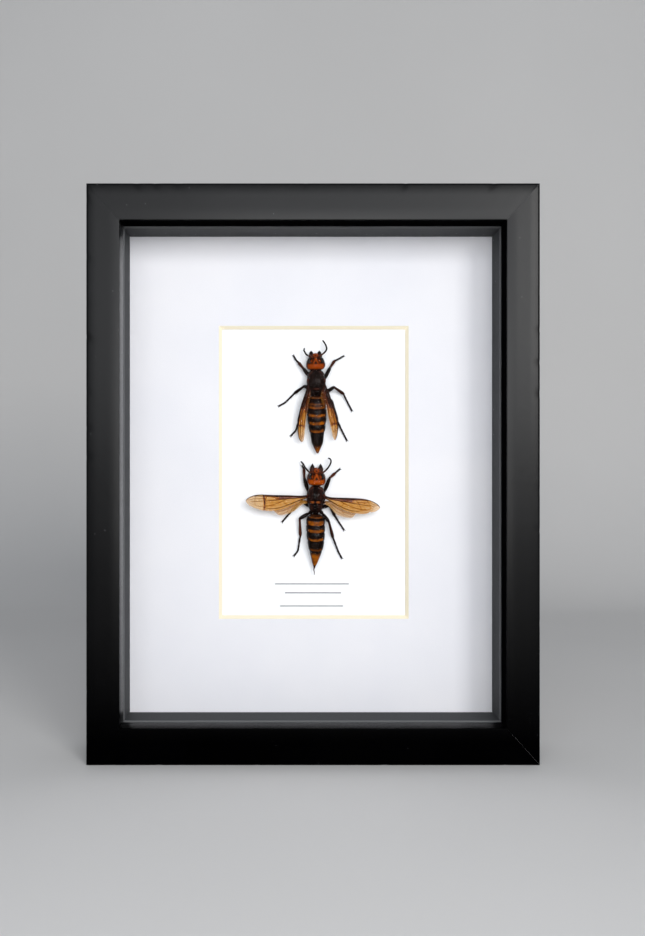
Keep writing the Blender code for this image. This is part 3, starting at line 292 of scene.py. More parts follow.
UPPER_WINGS = {
    'forewing_left': {
        'leading': [(-3.2, 2.6), (-5.0, -3.2), (-7.5, -10.2), (-8.9, -16.5),
                    (-9.3, -20.5), (-9.0, -24.0), (-8.3, -25.9), (-7.5, -26.9)],
        'trailing': [(-2.6, 1.8), (-3.6, -4.7), (-4.5, -10.3), (-5.1, -15.5),
                     (-5.7, -20.0), (-6.1, -24.0), (-6.6, -26.2), (-7.3, -27.0)],
        'heights': (6.6, 4.2), 'arch': 0.3, 'pleats': 3, 'stain': 0.64, 'shade': 0.3, 'fold': 0.24,
        'brown': 0.48, 'pale': 0.76, 'crease': 0.74, 'notch': None,
    },
    'forewing_right': {
        'leading': [(3.2, 2.4), (5.9, -4.2), (7.8, -10.6), (9.3, -15.0),
                    (9.95, -18.5), (9.75, -22.0), (9.1, -25.0), (8.4, -26.4)],
        'trailing': [(2.6, 1.6), (3.4, -5.2), (4.6, -10.0), (5.2, -14.5),
                     (6.0, -18.0), (6.8, -22.0), (7.3, -24.8), (8.2, -26.4)],
        'heights': (6.6, 4.2), 'arch': 0.3, 'pleats': 3, 'stain': 0.64, 'shade': 0.3, 'fold': 0.24,
        'brown': 0.48, 'pale': 0.76, 'crease': 0.74, 'notch': None,
    },
    'hindwing_left': {
        'leading': [(-2.9, -2.0), (-4.3, -5.4), (-5.0, -9.0), (-5.2, -12.0), (-4.9, -13.5)],
        'trailing': [(-2.6, -2.4), (-3.0, -5.6), (-3.7, -9.2), (-4.3, -12.0), (-4.7, -13.6)],
        'heights': (7.3, 6.4), 'arch': 0.1, 'pleats': 2, 'tone': 0.42, 'cover': 0.34,
        'crease': None, 'notch': None,
    },
    'hindwing_right': {
        'leading': [(2.9, -2.0), (3.8, -5.4), (4.2, -8.6), (4.2, -10.8), (4.0, -11.5)],
        'trailing': [(2.6, -2.4), (1.9, -5.6), (2.4, -8.6), (3.3, -11.0), (3.8, -11.6)],
        'heights': (7.6, 7.9), 'arch': 0.1, 'pleats': 2, 'tone': 0.44, 'cover': 0.32,
        'crease': None, 'notch': None,
    },
}
STIGMA = {'forewing_left': 0.39, 'forewing_right': 0.46}
MEMBRANE_T = 0.05
MEMBRANE_ROWS = 170
MEMBRANE_COLUMNS = 56
# Veins: half width at the root and at the end, darkness, and points as (share of the span,
# share of the chord) from the root outwards
FOREWING_VEINS = [
    (0.3, 0.12, 1.0, [(0.0, 0.06), (0.2, 0.03), (0.5, 0.03), (0.7, 0.03), (0.86, 0.03), (0.98, 0.1)]),
    (0.2, 0.12, 1.0, [(0.0, 0.2), (0.15, 0.12), (0.35, 0.11), (0.55, 0.11), (0.68, 0.06)]),
    (0.24, 0.06, 0.8, [(0.02, 0.48), (0.3, 0.33), (0.5, 0.38), (0.68, 0.42), (0.8, 0.46)]),
    (0.12, 0.05, 0.6, [(0.3, 0.33), (0.42, 0.56), (0.6, 0.72), (0.74, 0.75)]),
    (0.24, 0.06, 0.8, [(0.02, 0.78), (0.25, 0.84), (0.5, 0.87), (0.62, 0.78)]),
    (0.09, 0.06, 0.6, [(0.5, 0.11), (0.53, 0.26), (0.56, 0.4), (0.6, 0.72)]),
    (0.09, 0.06, 0.6, [(0.66, 0.09), (0.69, 0.2), (0.72, 0.44), (0.74, 0.75)]),
    (0.08, 0.05, 0.5, [(0.53, 0.26), (0.6, 0.24), (0.69, 0.2), (0.8, 0.24), (0.9, 0.12), (0.93, 0.05)]),
    (0.08, 0.06, 0.6, [(0.3, 0.33), (0.4, 0.24), (0.46, 0.11)]),
    (0.08, 0.06, 0.5, [(0.36, 0.45), (0.35, 0.66), (0.33, 0.86)]),
    (0.07, 0.05, 0.5, [(0.62, 0.24), (0.63, 0.32), (0.64, 0.41)]),
]
HINDWING_VEINS = [
    (0.13, 0.06, 0.9, [(0.0, 0.1), (0.3, 0.05), (0.6, 0.06), (0.9, 0.15)]),
    (0.1, 0.05, 0.7, [(0.0, 0.4), (0.3, 0.34), (0.55, 0.36), (0.86, 0.5)]),
    (0.08, 0.05, 0.6, [(0.0, 0.62), (0.3, 0.66), (0.6, 0.76), (0.8, 0.86)]),
    (0.06, 0.05, 0.5, [(0.5, 0.06), (0.54, 0.2), (0.55, 0.36), (0.6, 0.76)]),
]
STING = [(0.1, -31.2, 2.9), (-0.05, -32.4, 2.85), (-0.3, -33.3, 2.8), (0.0, -34.3, 2.75), (0.05, -35.7, 2.7)]


# Numbers and curves

def smooth_path(rows, steps):
    """A smooth curve through rows of numbers, with some steps between each two."""
    rows = np.array(rows, float)
    padded = np.vstack([rows[:1], rows, rows[-1:]])
    t = np.linspace(0.0, 1.0, steps, endpoint=False)[:, None]
    parts = []
    for a, b, c, d in zip(padded, padded[1:], padded[2:], padded[3:]):
        square = (2 * a - 5 * b + 4 * c - d) * t**2
        cube = (3 * b - a - 3 * c + d) * t**3
        parts.append(0.5 * (2 * b + (c - a) * t + square + cube))
    return np.vstack([*parts, rows[-1:]])


def stations_at(stations, ys):
    """Half width, underside, widest height and top at each y, by a smooth curve."""
    rows = np.array(sorted(stations))
    y, values = rows[:, 0], rows[:, 1:]
    index = np.arange(len(y))
    before = np.maximum(index - 1, 0)
    after = np.minimum(index + 1, len(y) - 1)
    slopes = (values[after] - values[before]) / (y[after] - y[before])[:, None]
    i = np.clip(np.searchsorted(y, ys, side='right') - 1, 0, len(y) - 2)
    width = (y[i + 1] - y[i])[:, None]
    t = (np.clip(ys, y[0], y[-1]) - y[i])[:, None] / width
    rise = 3 * t**2 - 2 * t**3
    bend = (t**3 - 2 * t**2 + t) * slopes[i] + (t**3 - t**2) * slopes[i + 1]
    return values[i] + (values[i + 1] - values[i]) * rise + bend * width


def step_up(x, low, high):
    """Rises smoothly from 0 at low to 1 at high."""
    t = np.clip((x - low) / (high - low), 0.0, 1.0)
    return t * t * (3 - 2 * t)


def ripple(points, size, seed):
    """Smooth seeded noise from -1 to 1, as a sum of waves in many directions."""
    rng = np.random.default_rng(seed)
    total = np.zeros(points.shape[:-1])
    for _ in range(14):
        direction = rng.normal(size=points.shape[-1])
        direction *= rng.uniform(0.6, 1.8) / np.linalg.norm(direction)
        total += np.sin(points @ direction * 2 * math.pi / size + rng.uniform(0, 2 * math.pi))
    return np.clip(total / 5.0, -1.0, 1.0)


def line_distance(points, line):
    """Distance of points in a plane from a broken line."""
    line = np.array(line, float)
    nearest = np.full(points.shape[:-1], 1e9)
    for a, b in zip(line, line[1:]):
        along = b - a
        share = np.clip(((points - a) @ along) / max(along @ along, 1e-12), 0.0, 1.0)
        nearest = np.minimum(nearest, np.linalg.norm(points - a - share[..., None] * along, axis=-1))
    return nearest


# Surfaces as grids of points

def grid_normals(grid):
    """Unit normals of a grid that closes round its second axis, pointing away from its middle."""
    along = np.gradient(grid, axis=0)
    around = np.roll(grid, -1, axis=1) - np.roll(grid, 1, axis=1)
    normals = np.cross(around, along)
    outward = grid - grid.mean(axis=1, keepdims=True)
    facing = np.sign((normals * outward).sum(axis=(1, 2)))
    facing[facing == 0] = 1
    normals *= facing[:, None, None]
    return normals / np.maximum(np.linalg.norm(normals, axis=-1, keepdims=True), 1e-9)


def with_domes(grid, bulge):
    """Adds rings that round off both ends of a tube of rings."""
    turns = np.linspace(0.0, math.pi / 2, DOME_RINGS + 1)[1:]
    ends = []
    for ring, inner in ((grid[0], grid[1]), (grid[-1], grid[-2])):
        middle = ring.mean(axis=0)
        away = middle - inner.mean(axis=0)
        away /= max(np.linalg.norm(away), 1e-9)
        cap = [middle + (ring - middle) * max(math.cos(a), 0.01) + away * bulge * math.sin(a) for a in turns]
        ends.append(np.array(cap))
    return np.concatenate([ends[0][::-1], grid, ends[1]])


def over_domes(field):
    """Repeats the first and the last row of a field for the rings of the domes."""
    first = np.repeat(field[:1], DOME_RINGS, axis=0)
    last = np.repeat(field[-1:], DOME_RINGS, axis=0)
    return np.concatenate([first, field, last])


def body_grid(stations, ys, sides, insets=0.0):
    """Rings of a body: superellipses whose upper and lower halves differ."""
    sections = stations_at(stations, ys)
    angles = np.linspace(0.0, 2 * math.pi, sides, endpoint=False)
    c, s = np.cos(angles), np.sin(angles)
    across = np.sign(c) * np.abs(c) ** (2 / BODY_POWER)
    upright = np.sign(s) * np.abs(s) ** (2 / BODY_POWER)
    half, low, wide, high = [sections[:, k, None] for k in range(4)]
    inset = (np.zeros(len(ys)) + insets)[:, None]
    x = (half - inset) * across
    height = np.where(upright > 0, high - wide, wide - low) - inset
    z = wide + height * upright
    return np.stack([x, ys[:, None] + np.zeros_like(x), z], axis=-1)


def tube_grid(path, radii, sides, flatten=None):
    """Rings along a path of points, with a radius for each and perhaps a second one."""
    path = np.array(path, float)
    along = np.gradient(path, axis=0)
    along /= np.maximum(np.linalg.norm(along, axis=1, keepdims=True), 1e-9)
    side = np.cross(along, (0.0, 0.0, 1.0))
    flat = np.linalg.norm(side, axis=1) < 0.05
    side[flat] = np.cross(along[flat], (0.0, 1.0, 0.0))
    side /= np.linalg.norm(side, axis=1, keepdims=True)
    up = np.cross(side, along)
    angles = np.linspace(0.0, 2 * math.pi, sides, endpoint=False)
    wide = np.array(radii, float)[:, None, None]
    thick = wide if flatten is None else np.array(flatten, float)[:, None, None]
    ring = np.cos(angles)[None, :, None] * side[:, None, :] * wide
    ring = ring + np.sin(angles)[None, :, None] * up[:, None, :] * thick
    return path[:, None, :] + ring


def unit_ball(rings, sides):
    """Rings of a sphere of radius 1 from its hind pole to its front pole."""
    latitudes = np.linspace(-math.pi / 2 + 0.02, math.pi / 2 - 0.02, rings)
    angles = np.linspace(0.0, 2 * math.pi, sides, endpoint=False)
    x = np.cos(latitudes)[:, None] * np.cos(angles)
    z = np.cos(latitudes)[:, None] * np.sin(angles)
    y = np.sin(latitudes)[:, None] + np.zeros_like(x)
    return np.stack([x, y, z], axis=-1)


def place_ball(ball, middle, radii, turn):
    """Stretches a unit ball to its radii, turns it about the upright axis and moves it."""
    c, s = math.cos(math.radians(turn)), math.sin(math.radians(turn))
    x, y, z = [ball[..., k] * radii[k] for k in range(3)]
    return np.stack([c * x - s * y, s * x + c * y, z], axis=-1) + np.array(middle)


def per_point(value, count):
    """A number for each point, from one number or from an array of them."""
    return np.full(count, value) if np.ndim(value) == 0 else np.ravel(value)


def add_object(name, data):
    """Puts a mesh, a light or a camera into the scene."""
    item = bpy.data.objects.new(name, data)
    bpy.context.scene.collection.objects.link(item)
    return item


class Shape:
    """Points and faces gathered until they become one piece, with a tone for each point."""

    def __init__(self):
        self.points = []
        self.faces = []
        self.tones = []
        self.clears = []
        self.count = 0

    def add(self, points, faces, tone, clear=1.0):
        points = np.array(points, float).reshape(-1, 3)
        self.points.append(points)
        self.faces += [[i + self.count for i in face] for face in faces]
        self.tones.append(per_point(tone, len(points)))
        self.clears.append(per_point(clear, len(points)))
        self.count += len(points)
        return self

    def grid(self, grid, tone=0.5, clear=1.0):
        """Adds rings of points as a closed surface with flat ends."""
        rows, columns = grid.shape[:2]
        i = np.arange(rows - 1)[:, None]
        j = np.arange(columns)[None, :]
        a = i * columns + j
        b = i * columns + (j + 1) % columns
        faces = np.stack([a, b, b + columns, a + columns], axis=-1).reshape(-1, 4).tolist()
        faces.append(list(range(columns)))
        faces.append(list(range((rows - 1) * columns, rows * columns)))
        return self.add(grid, faces, tone, clear)

    def piece(self, name, place, material, slot, nodes):
        """Makes the object, in metres, and gives it its body and nodes; its slot is not used."""
        points = np.vstack(self.points)
        matrix = np.array(place)
        world = points @ matrix[:3, :3].T + matrix[:3, 3]
        mesh = bpy.data.meshes.new(name)
        mesh.from_pydata(world.tolist(), [], self.faces)
        mesh.validate()
        outward(mesh)
        for key, values in (('tone', self.tones), ('clear', self.clears)):
            mesh.attributes.new(key, 'FLOAT', 'POINT').data.foreach_set('value', np.concatenate(values))
        local = mesh.attributes.new('local', 'FLOAT_VECTOR', 'POINT')
        local.data.foreach_set('vector', points.ravel())
        mesh.shade_smooth()
        mesh.materials.append(material)
        return own(add_object(name, mesh), nodes)


def outward(mesh):
    """Turns the faces of every closed surface of a mesh outwards."""
    bm = bmesh.new()
    bm.from_mesh(mesh)
    bmesh.ops.recalc_face_normals(bm, faces=bm.faces)
    bm.to_mesh(mesh)
    bm.free()


def own(item, nodes):
    """Gives a piece its body and the nodes that it replaces."""
    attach(item, 'root')
    if nodes:
        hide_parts(*nodes)
    return item


def hornet_place(place):
    """The matrix from a hornet's own millimetres to the world."""
    x, z, lean = place
    move = Matrix.Translation((x * MM, CARD_FRONT * MM, z * MM))
    turn = Matrix.Rotation(math.radians(lean), 4, 'Y') @ Matrix.Rotation(math.radians(90), 4, 'X')
    return move @ turn @ Matrix.Scale(MM, 4)


# Materials

class Nodes:
    """A short way to write a material's nodes."""

    def __init__(self, name):
        self.material = bpy.data.materials.new(name)
        self.material.use_nodes = True
        self.tree = self.material.node_tree
        self.shader = self.tree.nodes['Principled BSDF']

    def node(self, kind, **values):
        made = self.tree.nodes.new(kind)
        for key, value in values.items():
            setattr(made, key, value)
        return made

    def link(self, source, target):
        self.tree.links.new(source, target)

    def feed(self, target, value):
        if isinstance(value, bpy.types.NodeSocket):
            self.link(value, target)
        else:
            target.default_value = value

    def attribute(self, name, output='Fac'):
        return self.node('ShaderNodeAttribute', attribute_name=name).outputs[output]

    def place(self, scale=(1.0, 1.0, 1.0)):
        """World place in millimetres, stretched by a scale."""
        mapping = self.node('ShaderNodeMapping')
        mapping.inputs['Scale'].default_value = [s / MM for s in scale]
        self.link(self.node('ShaderNodeTexCoord').outputs['Object'], mapping.inputs['Vector'])
        return mapping.outputs['Vector']

    def axes(self, vector):
        made = self.node('ShaderNodeSeparateXYZ')
        self.link(vector, made.inputs[0])
        return made.outputs

    def noise(self, vector, scale, detail=3.0, roughness=0.55):
        made = self.node('ShaderNodeTexNoise')
        made.inputs['Scale'].default_value = scale
        made.inputs['Detail'].default_value = detail
        made.inputs['Roughness'].default_value = roughness
        self.link(vector, made.inputs['Vector'])
        return made.outputs['Fac']

    def cells(self, vector, scale):
        made = self.node('ShaderNodeTexVoronoi')
        made.inputs['Scale'].default_value = scale
        self.link(vector, made.inputs['Vector'])
        return made.outputs['Distance']

    def math(self, operation, first, second=0.0, third=0.0):
        made = self.node('ShaderNodeMath', operation=operation)
        for socket, value in zip(made.inputs, (first, second, third)):
            self.feed(socket, value)
        return made.outputs[0]

    def remap(self, value, low, high, to_low=0.0, to_high=1.0):
        made = self.node('ShaderNodeMapRange', clamp=True)
        self.feed(made.inputs['Value'], value)
        for key, number in (('From Min', low), ('From Max', high), ('To Min', to_low), ('To Max', to_high)):
            made.inputs[key].default_value = number
        return made.outputs['Result']

    def mix(self, share, first, second):
        made = self.node('ShaderNodeMix', data_type='RGBA')
        self.feed(made.inputs['Factor'], share)
        self.feed(made.inputs[6], (*first, 1.0) if isinstance(first, tuple) else first)
        self.feed(made.inputs[7], (*second, 1.0) if isinstance(second, tuple) else second)
        return made.outputs[2]

    def ramp(self, value, stops):
        made = self.node('ShaderNodeValToRGB')
        elements = made.color_ramp.elements
        while len(elements) < len(stops):
            elements.new(0.5)
        for element, (place, colour) in zip(elements, stops):
            element.position = place
            element.color = (*colour, 1.0)
        self.feed(made.inputs['Fac'], value)
        return made.outputs['Color']

    def finish(self, colour, roughness, bump=None, depth=0.0, **constants):
        """Sets the shader; depth is the height of the bump in millimetres."""
        self.feed(self.shader.inputs['Base Color'], (*colour, 1.0) if isinstance(colour, tuple) else colour)
        self.feed(self.shader.inputs['Roughness'], roughness)
        if bump is not None:
            made = self.node('ShaderNodeBump')
            made.inputs['Strength'].default_value = 1.0
            made.inputs['Distance'].default_value = depth * MM
            self.link(bump, made.inputs['Height'])
            self.link(made.outputs['Normal'], self.shader.inputs['Normal'])
        for key, value in constants.items():
            self.feed(self.shader.inputs[key.replace('_', ' ')], value)
        return self.material


def paint_material():
    """Satin black paint on wood with faint waves, dust and a few specks, painted darker and duller at the
    foot.
    """
    m = Nodes('satin_black_paint')
    at = m.place()
    height = m.axes(at)['Z']
    waves = m.noise(m.place((0.4, 0.4, 0.4)), 0.5, 2.0)
    grain = m.noise(at, 6.0, 4.0)
    specks = m.math('LESS_THAN', m.cells(at, 0.16), 0.035)
    smear = m.remap(m.noise(at, 0.03, 4.0), 0.45, 0.75)
    colour = m.mix(m.math('MULTIPLY', smear, 0.2), (0.001, 0.001, 0.0013), (0.006, 0.006, 0.007))
    colour = m.mix(m.math('MULTIPLY', specks, 0.4), colour, (0.2, 0.2, 0.21))
    rough = m.math('MULTIPLY_ADD', grain, 0.12, 0.22)
    bump = m.math('ADD', waves, m.math('MULTIPLY', grain, 0.12))
    # Painted shade and painted reflection: darker and with less shine towards the foot, where there is less
    # to reflect
    colour = m.mix(m.remap(height, *PAINTED_REFLECTION_HEIGHTS, 0.75, 0.0), colour, (0.0, 0.0, 0.0))
    shine = m.remap(height, *PAINTED_REFLECTION_HEIGHTS, 0.0, 0.17)
    return m.finish(colour, rough, bump, 0.03, Specular_IOR_Level=shine)


def painted_shade_paint_material():
    """Painted shade: a darker, matt copy of the paint inside the opening at the top and the right, where
    nothing shines on it.
    """
    m = Nodes('painted_shade_black_paint')
    grain = m.noise(m.place(), 6.0, 4.0)
    colour = m.mix(grain, (0.0008, 0.0008, 0.001), (0.002, 0.002, 0.0023))
    return m.finish(colour, 0.8, Specular_IOR_Level=0.0)


def fibreboard_material():
    """Raw wood fibre board where the paint stops."""
    m = Nodes('raw_fibre_board')
    at = m.place((1.0, 0.25, 1.0))
    fibres = m.noise(at, 3.0, 6.0, 0.7)
    patches = m.noise(at, 0.12, 3.0)
    colour = m.ramp(fibres, [
        (0.3, (0.22, 0.13, 0.07)), (0.55, (0.36, 0.23, 0.13)), (0.75, (0.48, 0.33, 0.2))])
    colour = m.mix(m.remap(patches, 0.35, 0.7, 0.0, 0.35), colour, (0.18, 0.11, 0.06))
    return m.finish(colour, 0.85, fibres, 0.12)


def glass_material():
    """Clear glass, seen almost only by its reflections."""
    m = Nodes('picture_glass')
    smudge = m.noise(m.place(), 0.02, 3.0)
    rough = m.remap(smudge, 0.4, 0.75, 0.01, 0.06)
    return m.finish((0.01, 0.014, 0.013), rough, Alpha=0.02, Specular_IOR_Level=0.1)


def spacer_material():
    """Dark grey board, with a painted highlight: a light line along its front edge where it meets the glass.
    """
    m = Nodes('grey_spacer')
    at = m.place()
    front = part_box('spacer_top')[0].y / MM
    # Painted highlight: the front 0.6 mm of the board is lighter, as its edge catching the light
    edge = m.math('LESS_THAN', m.axes(at)['Y'], front + 0.6)
    grain = m.noise(at, 4.0, 5.0, 0.7)
    colour = m.mix(grain, (0.034, 0.035, 0.038), (0.055, 0.057, 0.06))
    colour = m.mix(m.math('MULTIPLY', edge, 0.6), colour, (0.2, 0.205, 0.21))
    return m.finish(colour, 0.7, grain, 0.05, Specular_IOR_Level=0.2)


def mat_material():
    """White mat board with a paper tooth, and the cream core in its bevel."""
    m = Nodes('mat_board')
    at = m.place()
    tooth = m.noise(at, 3.5, 6.0, 0.75)
    cloud = m.noise(at, 0.02, 3.0)
    normal = m.axes(m.node('ShaderNodeNewGeometry').outputs['True Normal'])
    core = m.math('LESS_THAN', m.math('ABSOLUTE', normal['Y']), 0.9)
    face = m.mix(m.remap(cloud, 0.35, 0.7), (0.76, 0.76, 0.8), (0.8, 0.795, 0.825))
    face = m.mix(m.remap(tooth, 0.3, 0.7, 0.0, 0.1), face, (0.7, 0.7, 0.74))
    fibres = m.mix(m.noise(at, 8.0, 4.0), (0.87, 0.78, 0.58), (0.93, 0.86, 0.68))
    return m.finish(m.mix(core, face, fibres), 0.85, tooth, 0.04, Specular_IOR_Level=0.3)


def card_material():
    """Smooth bluish white card."""
    m = Nodes('white_card')
    tooth = m.noise(m.place(), 9.0, 5.0, 0.7)
    colour = m.mix(m.remap(tooth, 0.3, 0.7, 0.0, 0.5), (0.915, 0.925, 0.945), (0.885, 0.895, 0.92))
    return m.finish(colour, 0.7, tooth, 0.012, Specular_IOR_Level=0.3)


def hardboard_material():
    """Brown hardboard with short dark and pale fibres."""
    m = Nodes('hardboard')
    long_way = m.noise(m.place((0.5, 1.0, 3.0)), 1.6, 5.0, 0.7)
    cross_way = m.noise(m.place((3.0, 1.0, 0.5)), 1.6, 5.0, 0.7)
    fibres = m.math('ADD', m.math('MULTIPLY', long_way, 0.5), m.math('MULTIPLY', cross_way, 0.5))
    colour = m.ramp(fibres, [
        (0.35, (0.12, 0.062, 0.03)), (0.5, (0.22, 0.125, 0.062)), (0.66, (0.36, 0.23, 0.13))])
    return m.finish(colour, 0.62, fibres, 0.1)


def zinc_material():
    """Zinc plated steel with faint spangle and scratches."""
    m = Nodes('zinc_plate')
    spangle = m.cells(m.place(), 0.7)
    scratches = m.noise(m.place((0.3, 1.0, 5.0)), 2.0, 5.0, 0.8)
    colour = m.mix(spangle, (0.5, 0.5, 0.5), (0.66, 0.66, 0.64))
    rough = m.math('MULTIPLY_ADD', scratches, 0.3, 0.2)
    return m.finish(colour, rough, scratches, 0.01, Metallic=1.0)


def shell_material(name, stops, rough, pit, pit_scale, shine):
    """Insect cuticle: a tone from black-brown to orange, mottled, pitted and satin."""
    m = Nodes(name)
    at = m.attribute('local', 'Vector')
    mottle = m.noise(at, 1.1, 5.0, 0.65)
    fine = m.noise(at, pit_scale, 4.0, 0.6)
    pits = m.cells(at, pit_scale * 0.8)
    tone = m.math('ADD', m.attribute('tone'), m.remap(mottle, 0.3, 0.7, -0.07, 0.07))
    tone = m.math('ADD', tone, m.remap(fine, 0.3, 0.7, -0.035, 0.035))
    colour = m.ramp(tone, stops)
    gloss = m.remap(mottle, 0.35, 0.65, rough - 0.07, rough + 0.1)
    gloss = m.math('ADD', gloss, m.remap(fine, 0.3, 0.7, -0.03, 0.04))
    bump = m.math('ADD', m.math('MULTIPLY', fine, 0.5), m.math('MULTIPLY', m.remap(pits, 0.0, 0.35), 0.5))
    return m.finish(colour, gloss, bump, pit, Specular_IOR_Level=shine)


def eye_material():
    """Dark compound eye with fine six-sided facets."""
    m = Nodes('compound_eye')
    at = m.attribute('local', 'Vector')
    facets = m.cells(at, 14.0)
    cloud = m.noise(at, 0.9, 3.0)
    colour = m.mix(m.remap(cloud, 0.35, 0.7), (0.003, 0.0015, 0.001), (0.012, 0.005, 0.003))
    return m.finish(colour, 0.2, m.remap(facets, 0.0, 0.6, 1.0, 0.0), 0.006, Specular_IOR_Level=0.2)


def wing_material():
    """Thin amber membrane: brown at the leading edge, amber inside and pale at the tip."""
    m = Nodes('wing_membrane')
    at = m.attribute('local', 'Vector')
    cloud = m.noise(at, 0.55, 5.0, 0.65)
    fine = m.noise(at, 5.0, 4.0, 0.7)
    tone = m.math('ADD', m.attribute('tone'), m.remap(cloud, 0.3, 0.7, -0.1, 0.1))
    tone = m.math('ADD', tone, m.remap(fine, 0.3, 0.7, -0.05, 0.05))
    colour = m.ramp(tone, [
        (0.0, (0.02, 0.004, 0.001)), (0.25, (0.15, 0.024, 0.0015)), (0.45, (0.36, 0.1, 0.005)),
        (0.65, (0.57, 0.25, 0.024)), (1.0, (0.72, 0.47, 0.22))])
    alpha = m.math('MULTIPLY', m.attribute('clear'), m.remap(fine, 0.25, 0.75, 0.8, 1.08))
    bump = m.math('ADD', m.math('MULTIPLY', cloud, 0.7), m.math('MULTIPLY', fine, 0.3))
    return m.finish(colour, 0.3, bump, 0.05, Alpha=alpha, Specular_IOR_Level=0.1)


def hair_material(name, root, tip):
    """Hair that changes colour from its root to its tip."""
    m = Nodes(name)
    colour = m.mix(m.attribute('tone'), root, tip)
    return m.finish(colour, 0.5, Specular_IOR_Level=0.03)


def ink_material():
    """Soft grey ink."""
    m = Nodes('grey_ink')
    colour = m.mix(m.noise(m.place(), 6.0, 3.0), (0.012, 0.012, 0.014), (0.04, 0.04, 0.043))
    return m.finish(colour, 0.7)


# Colours of the cuticle for tones from 0 to 1, on the thorax and legs, the head and the abdomen
DARK_STOPS = [
    (0.0, (0.002, 0.0012, 0.0011)), (0.25, (0.01, 0.0035, 0.0025)), (0.45, (0.045, 0.011, 0.006)),
    (0.65, (0.11, 0.026, 0.007)), (0.85, (0.21, 0.052, 0.008)), (1.0, (0.32, 0.09, 0.01))]
HEAD_STOPS = [
    (0.0, (0.002, 0.0012, 0.0011)), (0.25, (0.014, 0.004, 0.0025)), (0.45, (0.06, 0.011, 0.003)),
    (0.65, (0.14, 0.021, 0.002)), (0.85, (0.26, 0.038, 0.001)), (1.0, (0.38, 0.068, 0.001))]
BAND_STOPS = [
    (0.0, (0.002, 0.0012, 0.0011)), (0.3, (0.015, 0.005, 0.0025)), (0.55, (0.06, 0.016, 0.0025)),
    (0.8, (0.16, 0.04, 0.003)), (1.0, (0.32, 0.085, 0.002))]


# Frame

def arc(middle, radius, start, end, steps):
    """Points of an arc, for angles in degrees."""
    angles = np.radians(np.linspace(start, end, steps))
    return [(middle[0] + radius * math.cos(a), middle[1] - radius * math.sin(a)) for a in angles]


def moulding_section(face):
    """The rail's section as (inward, depth behind the front, side), its edges rounded by arcs.

    The side is 0 on the face and outside, 1 inside the opening and 2 at the raw back.
    """
    wall = face * WALL_SHARE
    outer, inner = 1.1, 0.35
    front = [(0.0, outer + 3.0)]
    front += arc((outer, outer), outer, 180, 90, 5)
    front += [(face * 0.33, 0.0), (face * 0.66, 0.0)]
    front += arc((face - inner, inner), inner, 90, 20, 4)
    inside = [(face, inner), *arc((face - 0.25, LIP - 0.25), 0.25, 0, -90, 3)]
    back = [(wall, LIP), (wall, FRAME_D - 0.3), (wall - 0.3, FRAME_D), (0.4, FRAME_D)]
    points = front + inside + back + [(0.0, FRAME_D - 0.4)]
    sides = [0] * len(front) + [1] * len(inside) + [2] * len(back) + [0]
    return np.array(points), np.array(sides)


def edge_dents(rng, shares):
    """How deep the outer edge is dented along a rail."""
    dents = np.zeros(len(shares))
    for _ in range(9):
        middle = rng.uniform(-0.95, 0.95)
        dents = np.maximum(dents, rng.uniform(0.04, 0.2) * np.exp(-(((shares - middle) / 0.006) ** 2)))
    return dents


def rail_grid(length, faces, section, seed):
    """Rings of a rail with mitred ends and small dents in its outer edge."""
    face, other_face = faces
    shares = np.linspace(-1.0, 1.0, RAIL_RINGS)
    dents = edge_dents(np.random.default_rng(seed), shares)
    corner = np.exp(-((section[:, 0] - 0.3) ** 2 + (section[:, 1] - 0.3) ** 2) / 0.6)
    points = np.zeros((RAIL_RINGS, len(section), 3))
    for k, (inward, depth) in enumerate(section):
        half = length / 2 - inward * other_face / face - 0.02
        sink = dents * corner[k]
        points[:, k, 0] = shares * half
        points[:, k, 1] = depth - FRAME_D / 2 + sink
        points[:, k, 2] = inward + sink
    return points


def paint_rail(mesh, sides):
    """Gives each strip of a rail the look of its side, with sharp edges where it turns."""
    columns = len(sides)
    for polygon in mesh.polygons:
        if len(polygon.vertices) > 4:
            polygon.use_smooth = False
            continue
        k = {v % columns for v in polygon.vertices}
        first = max(k) if k == {0, columns - 1} else min(k)
        polygon.material_index = int(sides[first])
    mesh.set_sharp_from_angle(angle=math.radians(35))


def build_rail(name, length, faces, turn, place, looks, seed):
    """One rail, with the looks of its front, its inside and its raw back."""
    section, sides = moulding_section(faces[0])
    shape = Shape().grid(rail_grid(length, faces, section, seed))
    move = Matrix.Translation(Vector(place) * MM) @ Matrix.Rotation(math.radians(turn), 4, 'Y')
    nodes = [f'rail_{name}']
    item = shape.piece(f'moulding_{name}', move @ Matrix.Scale(MM, 4), looks[0], 'frame_black', nodes)
    for look in looks[1:]:
        item.data.materials.append(look)
    paint_rail(item.data, sides)


def build_frame():
    """The four rails; the inner sides of the top and right rails get a darker, matt copy of the paint as
    painted shade.
    """
    paint, painted_shade, raw = paint_material(), painted_shade_paint_material(), fibreboard_material()
    lit = (paint, paint, raw)
    # The shaded rails carry the painted shade copy of the paint on their inner sides
    shaded = (paint, painted_shade, raw)
    ends = (FACE_ENDS, FACE_SIDES)
    sides = (FACE_SIDES, FACE_ENDS)
    build_rail('bottom', FRAME_W, ends, 0, (0.0, 0.0, 0.0), lit, 11)
    build_rail('left', FRAME_H, sides, 90, (-FRAME_W / 2, 0.0, FRAME_H / 2), lit, 12)
    build_rail('top', FRAME_W, ends, 180, (0.0, 0.0, FRAME_H), shaded, 13)
    build_rail('right', FRAME_H, sides, -90, (FRAME_W / 2, 0.0, FRAME_H / 2), shaded, 14)


def dress_solids():
    """Materials for the solids whose shape is right as it is."""
    zinc = zinc_material()
    looks = {
        'glass': glass_material(), 'mat': mat_material(), 'card': card_material(),
        'back_board': hardboard_material(), 'hanger': zinc, 'spacer': spacer_material(), 'tab': zinc}
    for name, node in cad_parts.items():
        look = looks.get(name) or looks.get(name.split('_')[0])
        if look:
            node.data.materials.clear()
            node.data.materials.append(look)


